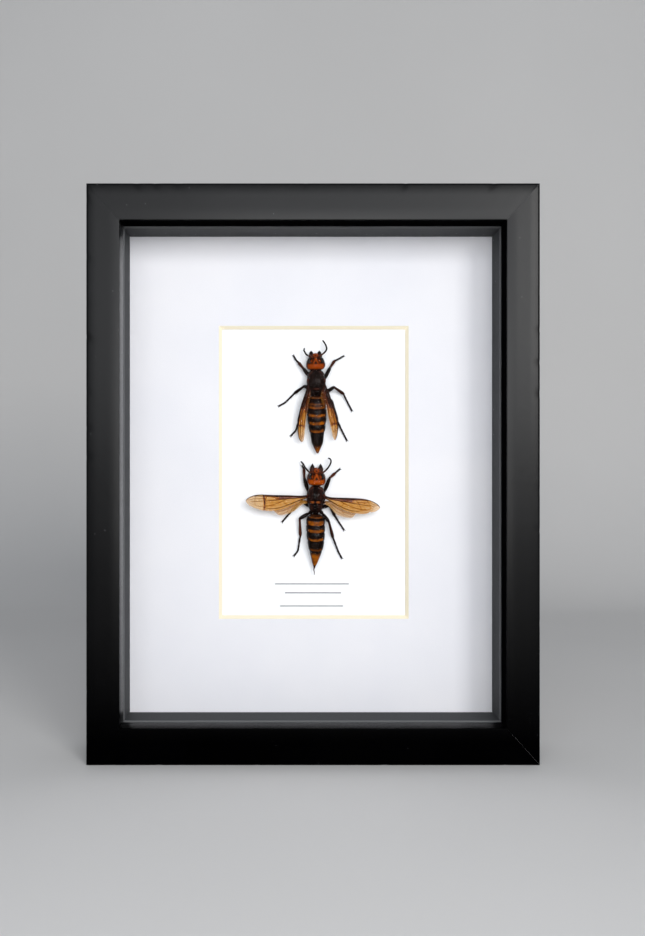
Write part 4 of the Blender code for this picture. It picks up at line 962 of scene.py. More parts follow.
def nail_places():
    """Two nails in the hanging plate and one in each tab, near the frame's outer edge."""
    low, high = [np.array(corner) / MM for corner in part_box('hanger')]
    heads = [(low[0] + 3.5, high[1], high[2] - 3.0), (high[0] - 3.5, high[1], high[2] - 3.0)]
    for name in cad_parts:
        if name.startswith('tab_'):
            low, high = [np.array(corner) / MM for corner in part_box(name)]
            side = name.split('_')[1]
            x = {'left': low[0] + 2.6, 'right': high[0] - 2.6}.get(side, (low[0] + high[0]) / 2)
            z = {'bottom': low[2] + 2.6, 'top': high[2] - 2.6}.get(side, (low[2] + high[2]) / 2)
            heads.append((x, high[1], z))
    return heads


def build_nails():
    """Round nail heads on the hanging plate and the tabs."""
    shape = Shape()
    profile = [(1.15, -0.1), (1.2, 0.12), (1.05, 0.32), (0.7, 0.45), (0.3, 0.5), (0.02, 0.5)]
    angles = np.linspace(0.0, 2 * math.pi, 24, endpoint=False)
    for x, y, z in nail_places():
        rings = []
        for radius, rise in profile:
            rings.append([(x + radius * math.cos(a), y + rise, z + radius * math.sin(a)) for a in angles])
        shape.grid(np.array(rings))
    shape.piece('nail_heads', Matrix.Scale(MM, 4), zinc_material(), 'zinc', [])


def build_label():
    """Three thin ruled lines in the place of a label."""
    shape = Shape()
    front = CARD_FRONT - 0.01
    depth = np.full(RULE_POINTS, RULE_HALF_DEPTH)
    height = np.full(RULE_POINTS, RULE_HALF_HEIGHT)
    for level, start, end in LABEL_RULES:
        path = np.linspace((start, front, level), (end, front, level), RULE_POINTS)
        shape.grid(tube_grid(path, depth, 8, height))
    shape.piece('label_rules', Matrix.Scale(MM, 4), ink_material(), 'card_white', [])


# Hornets

def place_part(spec, shape, name, look, slot, part):
    """Makes a hornet's piece; only the lower hornet has a node for each of its parts."""
    nodes = [part] if spec['own_nodes'] else ['hornet_upper']
    return shape.piece(spec['name'] + name, spec['place'], look, slot, nodes)


def relief(grid, bumps, grooves):
    """Raises round bumps and cuts grooves on the upper side of a body, mirrored in x."""
    normals = grid_normals(grid)
    folded = np.stack([np.abs(grid[..., 0]), grid[..., 1]], axis=-1)
    rise = np.zeros(grid.shape[:2])
    for x, y, wide, long, height in bumps:
        rise += height * np.exp(-((folded[..., 0] - x) / wide) ** 2 - ((folded[..., 1] - y) / long) ** 2)
    for line, width, depth in grooves:
        rise -= depth * np.exp(-((line_distance(folded, line) / width) ** 2))
    upper = step_up(normals[..., 2], -0.1, 0.35)
    return grid + normals * (rise * upper)[..., None]


def marks(grid, tone, spots, lines=()):
    """Blends a tone towards the tone of round spots and of lines, mirrored in x."""
    folded = np.stack([np.abs(grid[..., 0]), grid[..., 1]], axis=-1)
    tone = np.broadcast_to(tone, grid.shape[:2]).copy()
    for x, y, wide, long, value in spots:
        share = np.exp(-(((folded[..., 0] - x) / wide) ** 2 + ((folded[..., 1] - y) / long) ** 2) ** 2)
        tone += (value - tone) * share
    for line, width, value in lines:
        share = np.exp(-((line_distance(folded, line) / width) ** 2))
        tone += (value - tone) * share
    return tone


def scatter(rng, grid, area, count):
    """Seeded roots on a grid: rows, columns, the place inside each cell and the points."""
    picks = rng.choice(area.size, count, p=(area / area.sum()).ravel())
    rows, columns = np.unravel_index(picks, area.shape)
    across = (columns + 1) % grid.shape[1]
    u, v = rng.random((2, count, 1))
    near = grid[rows, columns] * (1 - v) + grid[rows, across] * v
    far = grid[rows + 1, columns] * (1 - v) + grid[rows + 1, across] * v
    return rows, columns, u, v, near * (1 - u) + far * u


def hair_points(rng, roots, normal, lay, length, radius, standing):
    """The seven points of each hair, which leans from the skin's normal towards its lay."""
    flow = np.array(lay) + rng.normal(size=roots.shape) * 0.3
    flow -= normal * (flow * normal).sum(axis=1, keepdims=True)
    flow /= np.maximum(np.linalg.norm(flow, axis=1, keepdims=True), 1e-6)
    reach = length * rng.uniform(0.55, 1.15, (len(roots), 1))
    middle = roots + (normal * (0.45 + standing * 0.4) + flow * (0.55 - standing * 0.3)) * reach * 0.5
    tip = middle + (normal * (standing * 0.7) + flow * (1.0 - standing * 0.5)) * reach * 0.5
    side = np.cross(flow, normal)
    lift = normal * 0.5 + flow * 0.2
    start = roots - normal * 0.03
    third = [side, -0.5 * side + lift * 0.87, -0.5 * side - lift * 0.87]
    rings = [start + a * radius for a in third] + [middle + a * radius * 0.65 for a in third] + [tip]
    return np.stack(rings, axis=1).reshape(-1, 3)


def add_map(mesh, patches):
    """The OFBake map, with a small patch for each hair round the place of its root."""
    corners = np.zeros(len(mesh.loops), int)
    mesh.loops.foreach_get('vertex_index', corners)
    layer = mesh.uv_layers.new(name='OFBake')
    layer.data.foreach_set('uv', np.vstack(patches)[corners].ravel())


def bristles(spec, name, part, kind, sources, lay, looks, number=0):
    """Short tapered hairs over body grids, spread by area and seeded."""
    count, length, radius, standing, look, slot, seed = HAIR[kind]
    rng = np.random.default_rng(seed + number)
    areas = []
    for grid, _, weight in sources:
        du = np.linalg.norm(np.diff(grid, axis=0), axis=-1)
        dv = np.linalg.norm(np.roll(grid, -1, axis=1) - grid, axis=-1)
        areas.append(du * dv[:-1] * weight[:-1])
    totals = np.array([area.sum() for area in areas])
    shape = Shape()
    patches = []
    for index, ((grid, normals, _), area) in enumerate(zip(sources, areas)):
        share = int(round(count * totals[index] / totals.sum()))
        if share < 1:
            continue
        rows, columns, u, v, roots = scatter(rng, grid, area, share)
        points = hair_points(rng, roots, normals[rows, columns], lay, length, radius, standing)
        first = np.arange(share)[:, None] * len(HAIR_TONES)
        faces = [face for corner in HAIR_FACES for face in (first + np.array(corner)).tolist()]
        shape.add(points, faces, np.tile(HAIR_TONES, share))
        rank = (index + (rows[:, None] + u) / grid.shape[0]) / len(sources)
        turn = (columns[:, None] + v) / grid.shape[1]
        spot = np.concatenate([rank, turn], axis=1) * 0.98 + 0.01
        patches.append((spot[:, None, :] + HAIR_PATCH[None] * PATCH_SIZE).reshape(-1, 2))
    item = place_part(spec, shape, name, looks[look], slot, part)
    add_map(item.data, patches)


def source(grid, weight=None):
    """A grid with its normals and how dense its hair is."""
    return grid, grid_normals(grid), np.ones(grid.shape[:2]) if weight is None else weight


def moved_spots(spots, shift):
    """Round spots moved along the body."""
    return [(x, y + shift, *rest) for x, y, *rest in spots]


def moved_lines(lines, shift):
    """Lines moved along the body."""
    return [([(x, y + shift) for x, y in line], *rest) for line, *rest in lines]


def head_grid(spec, rows, shift):
    """The head with its swellings, the clypeus, the shield between the antennae and sutures."""
    ys = np.linspace(rows[0][0], rows[-1][0], HEAD_RINGS)
    grid = with_domes(body_grid(spec['head'], ys, HEAD_SIDES), 0.35)
    bumps = [
        (2.0, 8.1, 1.7, 0.9, 0.28), (0.0, 8.0, 0.5, 0.9, -0.1), (0.0, 10.1, 0.8, 0.7, 0.14),
        (0.0, 11.7, 0.42, 0.6, 0.26), (1.1, 12.05, 0.45, 0.4, 0.22), (1.1, 12.1, 0.26, 0.24, -0.4),
        (0.0, 13.8, 1.3, 0.9, 0.42), (4.0, 9.0, 0.7, 1.2, 0.12), (2.25, 10.95, 1.35, 1.8, -0.6)]
    grooves = [
        ([(0.0, 10.9), (0.0, 11.6)], 0.12, 0.1), ([(0.8, 9.3), (1.8, 8.95), (3.2, 8.9)], 0.25, 0.12),
        (CLYPEUS, 0.14, 0.18), ([(0.0, 7.3), (0.0, 9.0)], 0.12, 0.06)]
    grid = relief(grid, moved_spots(bumps, shift), moved_lines(grooves, shift))
    return grid + grid_normals(grid) * (0.02 * ripple(grid, 1.2, 5))[..., None]


def head_tone(spec, grid, rows, shift):
    """Orange behind the eyes, with the marks of the face in front of them."""
    front = step_up(grid[..., 1], 9.0 + shift, 9.8 + shift)
    tone = spec['vertex_tone'] - (spec['vertex_tone'] - spec['face_tone']) * front
    tone *= 0.35 + 0.65 * step_up(grid[..., 1], rows[0][0] - 0.1, rows[0][0] + 0.7)
    tone *= 1 - 0.4 * step_up(np.abs(grid[..., 0]), 3.3, 4.1)
    spots = [
        (0.0, 13.9, 1.35, 1.2, 0.82), (0.1, 13.7, 0.42, 0.36, 0.35), (3.0, 13.1, 1.1, 0.55, 0.16),
        (2.05, 10.95, 0.55, 0.6, 0.76), (1.1, 12.15, 0.45, 0.4, 0.06), (0.0, 11.8, 0.4, 0.6, 0.95),
        (0.0, 9.95, 0.42, 0.55, 0.12)]
    lines = [
        ([(0.1, 11.7), (0.55, 10.8), (1.05, 9.8)], 0.26, 0.97),
        ([(1.3, 12.3), (2.1, 12.6), (2.9, 12.4)], 0.36, 0.04),
        ([(1.9, 9.75), (1.45, 10.5), (1.5, 11.6)], 0.18, 0.36), (CLYPEUS, 0.15, 0.2)]
    tone = marks(grid, tone, moved_spots(spots, shift), moved_lines(lines, shift))
    under = step_up(-grid[..., 2], -3.0, -1.4)
    return tone * (1 - 0.55 * under)


def build_ocelli(spec, grid, shift, looks):
    """Three simple eyes in a triangle on top of the head."""
    shape = Shape()
    below = (grid[..., 2] < 4.0) * 9.0
    for x, y, radius in ((0.0, 10.1, 0.2), (-0.45, 9.55, 0.18), (0.45, 9.55, 0.18)):
        near = np.abs(grid[..., 0] - x) + np.abs(grid[..., 1] - y - shift) + below
        top = grid[np.unravel_index(near.argmin(), near.shape)][2]
        radii = (radius, radius, radius * 0.8)
        shape.grid(place_ball(unit_ball(12, 16), (x, y + shift, top), radii, 0.0), 0.4)
    place_part(spec, shape, 'ocelli', looks['eye'], 'eye', 'head')


def build_eye(spec, way, side, looks):
    """A compound eye with the notch that faces its antenna."""
    across, along, up = spec['eye']
    ball = unit_ball(44, 60)
    notch = np.array([-way * 0.6, 0.06, 0.8])
    away = ((ball - notch) ** 2 * np.array([0.5, 1.8, 0.5])).sum(axis=-1)
    dent = 1.0 - 0.7 * np.exp(-away / 0.25)
    eye = place_ball(ball * dent[..., None], (way * across, along, up), EYE_RADII, way * EYE_TURN)
    place_part(spec, Shape().grid(eye, 0.3), f'eye_{side}_lens', looks['eye'], 'eye', f'eye_{side}')


def build_head(spec, looks):
    """The head's shell with its simple and compound eyes and its hair."""
    rows = sorted(spec['head'])
    shift = spec['eye'][1] - LOWER_EYE[1]
    grid = head_grid(spec, rows, shift)
    shell = Shape().grid(grid, head_tone(spec, grid, rows, shift))
    place_part(spec, shell, 'head_shell', looks['head'], 'shell_orange', 'head')
    build_ocelli(spec, grid, shift, looks)
    for way, side in SIDES:
        build_eye(spec, way, side, looks)
    weight = step_up(grid[..., 2], 2.2, 3.6)
    bristles(spec, 'head_hair', 'head', 'head', [source(grid, weight)], (0.0, 0.6, 0.4), looks)


def build_jaw(spec, way, side, looks):
    """A broad grooved mandible with teeth along its inner edge."""
    rows = np.array(MANDIBLE)
    rows[:, 0] *= way
    rows[:, 1] -= spec['jaw_back']
    path = smooth_path(rows, 14)
    share = np.linspace(0.0, 1.0, len(path))
    blunt = 1.0 + spec['jaw_blunt'] * step_up(share, 0.6, 0.85) * (1 - step_up(share, 0.93, 1.0))
    grid = tube_grid(path[:, :3], path[:, 3] * blunt, 40, path[:, 4])
    angles = np.linspace(0.0, 2 * math.pi, 40, endpoint=False)
    inner = np.clip(-way * np.cos(angles), 0, 1) ** 3
    teeth = np.zeros(len(share))
    for middle, width, height in ((0.5, 0.09, 0.36), (0.68, 0.05, 0.3), (0.82, 0.04, 0.18)):
        teeth += height * np.exp(-(((share - middle) / width) ** 2))
    inward = np.array([-way, 0.25, 0.0])
    grid = grid + inward * (teeth[:, None] * inner[None, :])[..., None]
    ridge = np.exp(-((np.sin(angles) - 1) / 0.25) ** 2)[None, :] * np.sin(math.pi * share)[:, None] * 0.1
    grid = grid + (grid - path[:, None, :3]) * ridge[..., None]
    grid = with_domes(grid, 0.06)
    along = np.clip((grid[..., 1] - rows[0, 1]) / 4.4, 0, 1)
    tone = 0.4 - 0.34 * step_up(along, 0.35, 0.85)
    tone = tone + 0.06 * ripple(grid, 1.5, 8)
    jaw = Shape().grid(grid, tone)
    place_part(spec, jaw, f'jaw_{side}', looks['limb'], 'shell_dark', f'mandible_{side}')


def build_antenna(spec, side, looks):
    """Scape, pedicel and a flagellum of ten rings."""
    path = smooth_path(spec['antennae'][side], 26)
    steps = np.linalg.norm(np.diff(path, axis=0), axis=1)
    along = np.concatenate([[0.0], np.cumsum(steps)])
    share = along / along[-1]
    elbow = 0.33
    radius = np.where(share < elbow, 0.28 + 0.13 * step_up(share, 0.0, elbow), 0.0)
    ring = (share - elbow) / (1 - elbow) * 11
    lobe = np.abs(np.sin(math.pi * np.clip(ring, 0, 11))) ** 0.35
    flagellum = (ANTENNA_R + (ANTENNA_TIP_R - ANTENNA_R) * np.clip(ring / 11, 0, 1)) * (0.86 + 0.14 * lobe)
    radius = np.where(share < elbow, radius, flagellum)
    radius *= 1 - 0.4 * np.exp(-(((share - elbow) / 0.012) ** 2))
    radius *= 1 - 0.3 * np.exp(-(((share - 0.03) / 0.02) ** 2))
    grid = with_domes(tube_grid(path, radius, 18), 0.18)
    tone = 0.5 - 0.34 * step_up(over_domes(share), 0.2, 0.5)
    feeler = Shape().grid(grid, np.repeat(tone[:, None], 18, axis=1))
    place_part(spec, feeler, f'feeler_{side}', looks['limb'], 'shell_dark', f'antenna_{side}')


def thorax_grid(spec, rows):
    """The thorax with its swellings, sutures and scutellum, rolled as it lies."""
    ys = np.linspace(rows[0][0], rows[-1][0], THORAX_RINGS)
    grid = with_domes(body_grid(spec['thorax'], ys, THORAX_SIDES), 0.3)
    s = spec['scutellum_y']
    bumps = [
        (0.0, s, 2.0, 0.75, 0.4), (0.0, s - 1.4, 1.9, 0.32, 0.3), (3.75, 1.7, 0.7, 1.0, 0.3),
        (0.0, 2.4, 1.1, 2.4, 0.14), (2.3, 3.0, 0.9, 2.0, 0.1), (2.6, s - 0.1, 0.6, 0.6, 0.16),
        (1.9, s - 2.6, 0.9, 0.9, 0.16), (0.0, s - 2.9, 0.55, 1.2, -0.18)]
    grooves = [
        ([(0.0, 6.0), (1.6, 5.4), (2.9, 4.2), (3.6, 2.9)], 0.2, 0.2),
        ([(0.0, s + 0.95), (1.6, s + 1.0), (2.9, s + 1.25), (3.7, s + 1.9)], 0.17, 0.3),
        ([(0.0, s - 0.95), (1.5, s - 0.9), (2.7, s - 0.7)], 0.14, 0.28),
        ([(0.0, s - 1.85), (1.4, s - 1.85), (2.6, s - 1.6)], 0.16, 0.26),
        ([(0.0, 4.9), (0.0, 1.2)], 0.1, 0.07), ([(1.35, 4.6), (1.15, 2.0), (1.0, s + 1.2)], 0.12, 0.07),
        ([(2.4, 4.1), (2.3, 1.2)], 0.12, 0.06), ([(0.0, s + 0.5), (0.0, s - 0.6)], 0.12, 0.1)]
    grid = relief(grid, bumps, grooves)
    grid = grid + grid_normals(grid) * (0.025 * ripple(grid, 1.0, 6))[..., None]
    grid[..., 0] -= spec['roll'] * (grid[..., 2] - ROLL_HEIGHT)
    side_seam = line_distance(grid[..., 1:], [(4.4, 5.6), (2.6, 4.4), (1.2, 2.0)])
    return grid - grid_normals(grid) * (0.15 * np.exp(-(side_seam / 0.2) ** 2))[..., None]


def thorax_tone(spec, grid):
    """Near black, browner beside the middle line, with a collar and the scutellum's spots."""
    s = spec['scutellum_y']
    level = grid.copy()
    level[..., 0] += spec['roll'] * (grid[..., 2] - ROLL_HEIGHT)
    off_middle = np.abs(level[..., 0])
    tone = 0.1 + spec['side_tone'] * step_up(off_middle, 0.6, 1.5)
    tone -= 0.16 * step_up(off_middle, 2.8, 4.0)
    tone = marks(level, tone, spec['thorax_spots'], [
        ([(1.5, 6.3), (2.7, 5.4), (3.6, 4.4)], 0.34, spec['collar_tone']),
        ([(2.0, 4.4), (1.9, 1.2)], 0.16, 0.12),
        ([(0.0, s + 0.95), (1.6, s + 1.0), (2.9, s + 1.25)], 0.2, 0.05),
        ([(0.0, s - 0.95), (1.5, s - 0.9), (2.7, s - 0.7)], 0.16, 0.05)])
    return tone * (1 - 0.5 * step_up(-grid[..., 2], -3.4, -1.6))


def add_neck_and_waist(shape, front, end, waist_end):
    """The ringed neck ahead of the thorax and the thin waist behind it."""
    neck = np.linspace((0.0, front - 0.4, 4.4), (0.0, front + 1.2, 4.5), 14)
    shape.grid(tube_grid(neck, 1.5 - 0.15 * np.cos(np.linspace(0, 9, 14)), 40), 0.12)
    waist = smooth_path([(0.0, end + 0.5, 3.6), (0.0, end - 0.1, 3.7), (0.0, waist_end, 3.75)], 8)
    radius = np.interp(np.linspace(0, 1, len(waist)), (0, 0.45, 1), (1.0, 0.7, 1.25))
    shape.grid(tube_grid(waist, radius, 32), 0.32)


def add_wing_scales(shape):
    """The scale over each wing's root and the small plates round it."""
    for way, _ in SIDES:
        ball = unit_ball(24, 28)
        scale = place_ball(ball, (way * 3.75, 1.7, 6.95), (0.8, 1.2, 0.55), -way * 8)
        shape.grid(scale, 0.4 + 0.15 * ball[..., 1])
        for x, y, z, size in ((4.0, 0.5, 6.3, 0.5), (3.9, -0.9, 5.5, 0.5), (3.8, 2.6, 6.0, 0.45)):
            radii = (size * 0.8, size, size * 0.6)
            shape.grid(place_ball(unit_ball(12, 16), (way * x, y, z), radii, way * 20), 0.18)


def build_thorax(spec, looks):
    """The thorax with its wing scales, neck and waist and its hair."""
    rows = sorted(spec['thorax'])
    grid = thorax_grid(spec, rows)
    shape = Shape().grid(grid, thorax_tone(spec, grid))
    add_neck_and_waist(shape, rows[-1][0], rows[0][0], spec['waist_end'])
    add_wing_scales(shape)
    place_part(spec, shape, 'thorax_shell', looks['thorax'], 'shell_dark', 'thorax')
    weight = step_up(grid[..., 2], 1.5, 3.0)
    bristles(spec, 'thorax_hair', 'thorax', 'thorax', [source(grid, weight)], (0.0, -0.8, 0.3), looks)


def band_tone(y, bands, wobble):
    """A level for the orange bands and 0 in the black ones, with soft uneven edges."""
    tone = np.zeros_like(y)
    for front, back, level in bands:
        behind = step_up(-(y + wobble), -front - 0.2, -front + 0.2)
        ahead = step_up(y + wobble * 0.4, back - 0.14, back + 0.14)
        deep = 0.6 + 0.4 * step_up(-y, -front, -front + 1.5) if back < front - 3 else 1.0
        tone = np.maximum(tone, level * behind * ahead * deep)
    return tone


def plate_rings(spec, rows):
    """Where the abdomen's rings lie, and how far each is set in below the plate before it."""
    edges = [rows[-1][0], *spec['margins'], rows[0][0]]
    profile = TERGITE_STEP * (1 - step_up(PLATE_SHARES, 0.0, 0.35)) - 0.05 * np.sin(math.pi * PLATE_SHARES)
    profile[-3:] -= 0.03
    ys = [front + (back - front) * PLATE_SHARES for front, back in zip(edges, edges[1:])]
    insets = [profile * (number > 0) for number in range(len(ys))]
    return np.concatenate([*ys, [rows[0][0]]]), np.concatenate([*insets, [0.0]])


def gaster_tone(spec, plain, half, insets):
    """Orange bands with uneven edges, darker at the sides, below and under each margin."""
    wave = 0.2 * ripple(plain[..., :2] * np.array([1.0, 0.15]), 3.4, spec['seed'])
    wave += 0.1 * ripple(plain, 0.8, 4)
    tone = spec['band_tone'] * band_tone(plain[..., 1], spec['bands'], wave)
    tone *= 1 - 0.75 * step_up(np.abs(plain[..., 0]) / half, 0.72, 0.96)
    tone += 0.12 * ripple(plain, 2.2, 9) * (0.5 + tone) + 0.08
    tone *= (1 - 0.5 * step_up(insets, 0.1, 0.2))[:, None]
    return tone * (1 - 0.35 * step_up(-plain[..., 2], -3.0, -1.8))


def gaster_grid(spec, plain, ys, rows, half):
    """The plates swept back at their sides, with a seam along each side and fine streaks."""
    fade = step_up(-ys, -rows[-1][0] + 0.6, -rows[-1][0] + 3.0)
    fade *= 1 - step_up(-ys, -rows[0][0] - 4.0, -rows[0][0])
    share = (ys - ys[0]) / (ys[-1] - ys[0])
    grid = plain.copy()
    grid[..., 0] += spec['sway'] * np.sin(math.pi * share**2)[:, None]
    grid[..., 1] += TERGITE_SWEEP * (plain[..., 0] / half) ** 2 * fade[:, None]
    normals = grid_normals(grid)
    seam = np.exp(-(((plain[..., 2] - stations_at(spec['gaster'], ys)[:, 2, None] + 0.9) / 0.16) ** 2))
    grid = grid - normals * (0.12 * seam * (np.abs(plain[..., 0]) > 0.5 * half))[..., None]
    streaks = ripple(plain * np.array([2.6, 0.5, 2.6]), 0.9, 12)
    return grid + normals * (0.012 * streaks)[..., None]


def build_gaster(spec, looks):
    """Six plates that overlap towards the tip, with orange bands and short hair."""
    rows = sorted(spec['gaster'])
    ys, insets = plate_rings(spec, rows)
    plain = body_grid(spec['gaster'], ys, GASTER_SIDES, insets)
    half = np.maximum(np.abs(plain[..., 0]).max(axis=1, keepdims=True), 0.5)
    tone = gaster_tone(spec, plain, half, insets)
    grid = with_domes(gaster_grid(spec, plain, ys, rows, half), 0.25)
    plates = Shape().grid(grid, over_domes(tone))
    place_part(spec, plates, 'gaster_plates', looks['gaster'], 'shell_banded', 'abdomen')
    weight = step_up(grid[..., 2], 1.0, 2.5)
    bristles(spec, 'gaster_hair', 'abdomen', 'gaster', [source(grid, weight)], (0.0, -1.0, 0.0), looks)


def build_sting(spec, looks):
    """The sting's shaft between its two sheaths, with a thread drawn out at its end."""
    shape = Shape()
    path = smooth_path(STING, 16)
    share = np.linspace(0, 1, len(path))
    shape.grid(with_domes(tube_grid(path, 0.22 * (1 - share) ** 0.8 + 0.12, 16), 0.05), 0.45)
    for way, _ in SIDES:
        sheath = [(way * 0.25 + 0.1, -31.0, 2.9), (way * 0.32, -31.9, 3.0), (way * 0.26 - 0.1, -32.7, 2.9)]
        sheath = smooth_path(sheath, 10)
        radius = np.interp(np.linspace(0, 1, len(sheath)), (0, 0.6, 1), (0.2, 0.17, 0.08))
        shape.grid(with_domes(tube_grid(sheath, radius, 12), 0.05), 0.3)
    place_part(spec, shape, 'sting_shaft', looks['limb'], 'shell_banded', 'sting')


def limb_tube(start, end, radii, seed, sides=20, rings=26):
    """One straight limb segment with a smooth profile."""
    start, end = np.array(start, float), np.array(end, float)
    share = np.linspace(0.0, 1.0, rings)
    path = start + (end - start) * share[:, None]
    knots = np.array(radii)
    radius = np.interp(share, knots[:, 0], knots[:, 1])
    radius = np.convolve(np.pad(radius, 2, mode='edge'), np.ones(5) / 5, mode='valid')
    grid = tube_grid(path, radius, sides)
    grid = grid + grid_normals(grid) * (0.02 * ripple(grid, 1.1, seed))[..., None]
    return with_domes(grid, radius[-1] * 0.6)


def unit(vector):
    return vector / max(np.linalg.norm(vector), 1e-9)


def tarsus_parts(ankle, bend, foot, shin, seed):
    """Five segments, each a little flared at its end."""
    path = smooth_path([ankle - shin * 0.2, (ankle + bend) / 2, bend, (bend + foot) / 2, foot], 12)
    along = np.concatenate([[0.0], np.cumsum(np.linalg.norm(np.diff(path, axis=0), axis=1))])
    cuts = np.array([0.0, 0.4, 0.58, 0.72, 0.83, 1.0]) * along[-1]
    corners = [np.array([np.interp(cut, along, path[:, k]) for k in range(3)]) for cut in cuts]
    profile = [(0, 0.3), (0.12, 0.38), (0.8, TARSUS_R), (0.95, 0.45), (1, 0.28)]
    parts = []
    for low, high in zip(corners, corners[1:]):
        parts.append(limb_tube(low - unit(high - low) * 0.12, high, profile, seed, 14, 16))
    return parts


def add_claws(shape, ankle, foot, shin, toes):
    """The pair of claws with the pad between them, and the two spurs at the ankle."""
    side = unit(np.array([-toes[1], toes[0], 0.0]))
    down = np.array([0.0, 0.0, -1.0])
    for way, _ in SIDES:
        out = side * way
        claw = smooth_path([foot - toes * 0.1, foot + toes * 0.35 + out * 0.34,
                            foot + toes * 0.8 + out * 0.55 + down * 0.1,
                            foot + toes * 0.95 + out * 0.5 + down * 0.35], 8)
        shape.grid(tube_grid(claw, np.linspace(0.17, 0.03, len(claw)), 10), 0.2)
        spur = smooth_path([ankle - shin * 0.25 + out * 0.2, ankle + shin * 0.4 + out * 0.42,
                            ankle + shin * 0.95 + out * 0.5], 6)
        shape.grid(tube_grid(spur, np.linspace(0.13, 0.02, len(spur)), 8), 0.3)
    shape.grid(place_ball(unit_ball(10, 14), foot + toes * 0.25, (0.24, 0.28, 0.16), 0.0), 0.18)


def build_leg(spec, name, joints, looks, seed):
    """Coxa, trochanter, femur, tibia with spurs, five tarsal segments and claws."""
    root, knee, ankle, bend, foot = [np.array(j, float) for j in joints]
    thigh, shin = unit(knee - root), unit(ankle - knee)
    hip = root + (knee - root) * 0.2
    trochanter = root + (knee - root) * 0.28
    coxa = limb_tube(root, hip, [(0, 0.75), (0.4, COXA_R), (0.8, 0.8), (1, 0.6)], seed)
    ring = limb_tube(hip - thigh * 0.2, trochanter, [(0, 0.5), (0.5, 0.6), (1, 0.48)], seed + 1)
    thick = [(0, 0.5), (0.15, 0.78), (0.4, FEMUR_R), (0.8, 0.84), (0.93, 0.68), (1, 0.44)]
    femur = limb_tube(trochanter - thigh * 0.25, knee + thigh * 0.2, thick, seed + 2, 24, 40)
    thick = [(0, 0.42), (0.08, 0.6), (0.2, 0.55), (0.6, 0.7), (0.85, TIBIA_R), (0.95, 0.71), (1, 0.5)]
    tibia = limb_tube(knee - shin * 0.25, ankle + shin * 0.1, thick, seed + 3, 24, 40)
    segments = tarsus_parts(ankle, bend, foot, shin, seed + 4)
    shape = Shape()
    shape.grid(coxa, 0.12).grid(ring, 0.14).grid(femur, 0.12)
    shape.grid(tibia, spec['shin_tones'].get(name, 0.2))
    for part in segments:
        shape.grid(part, 0.22)
    add_claws(shape, ankle, foot, shin, unit(foot - bend))
    place_part(spec, shape, f'limb_{name}', looks['limb'], 'shell_dark', f'leg_{name}')
    return [source(part) for part in (femur, tibia, *segments)], shin.tolist()


def build_legs(spec, looks):
    """Six legs, each with its hair."""
    for number, (name, joints) in enumerate(spec['legs'].items()):
        parts, lay = build_leg(spec, name, joints, looks, 40 + number * 7)
        bristles(spec, f'limb_hair_{name}', f'leg_{name}', 'limb', parts, lay, looks, number)


# Wings

def wing_surface(wing):
    """The membrane as a grid, its shares of span, chord and length, and a function for any point."""
    leading = smooth_path(wing['leading'], 20)
    trailing = smooth_path(wing['trailing'], 20)
    root = np.array(wing['leading'][0])
    tip = np.array(wing['leading'][-1])
    span = tip - root
    low, high = wing['heights']
    seed = int(abs(tip[0] * 100))

    def edge_at(edge, u):
        place = u * (len(edge) - 1)
        return np.stack([np.interp(place, np.arange(len(edge)), edge[:, k]) for k in range(2)], axis=-1)

    def length_share(flat):
        return np.clip((flat - root) @ span / (span @ span), 0.0, 1.0)

    def at(u, v):
        u = np.asarray(u, float)
        v = np.asarray(v, float)
        front, back = edge_at(leading, u), edge_at(trailing, u)
        wear = np.abs(ripple(np.stack([u * 40, v * 0], axis=-1), 2.0, seed))
        ragged = 1 - 0.03 * wear * step_up(u, 0.2, 0.5)
        if wing['notch']:
            ragged = ragged - 0.15 * np.exp(-np.abs((u - wing['notch']) / 0.02) ** 1.4)
            ragged = ragged - 0.05 * np.exp(-(((u - wing['notch'] - 0.05) / 0.03) ** 2))
        flat = front + (back - front) * (v * ragged)[..., None]
        share = length_share(flat)
        level = low + (high - low) * share + wing['arch'] * np.sin(math.pi * share)
        fade = step_up(u, 0.0, 0.15) * (1 - step_up(u, 0.75, 1.0))
        pleat = 0.09 * np.sin(v * math.pi * 2 * wing['pleats'] + 0.6 * np.sin(u * 5)) * fade
        sag = 0.06 * ripple(np.concatenate([flat, flat[..., :1] * 0], axis=-1), 3.2, seed + 1)
        if wing['crease']:
            level = level - 0.3 * np.exp(-(((share - wing['crease']) / 0.012) ** 2))
            level = level + 0.25 * step_up(share, wing['crease'], 0.95)
        return np.concatenate([flat, (level + pleat + sag)[..., None]], axis=-1)

    shares = np.linspace(0.0, 1.0, MEMBRANE_ROWS), np.linspace(0.0, 1.0, MEMBRANE_COLUMNS)
    u, v = np.meshgrid(*shares, indexing='ij')
    grid = at(u, v)
    return grid, u, v, length_share(grid[..., :2]), at


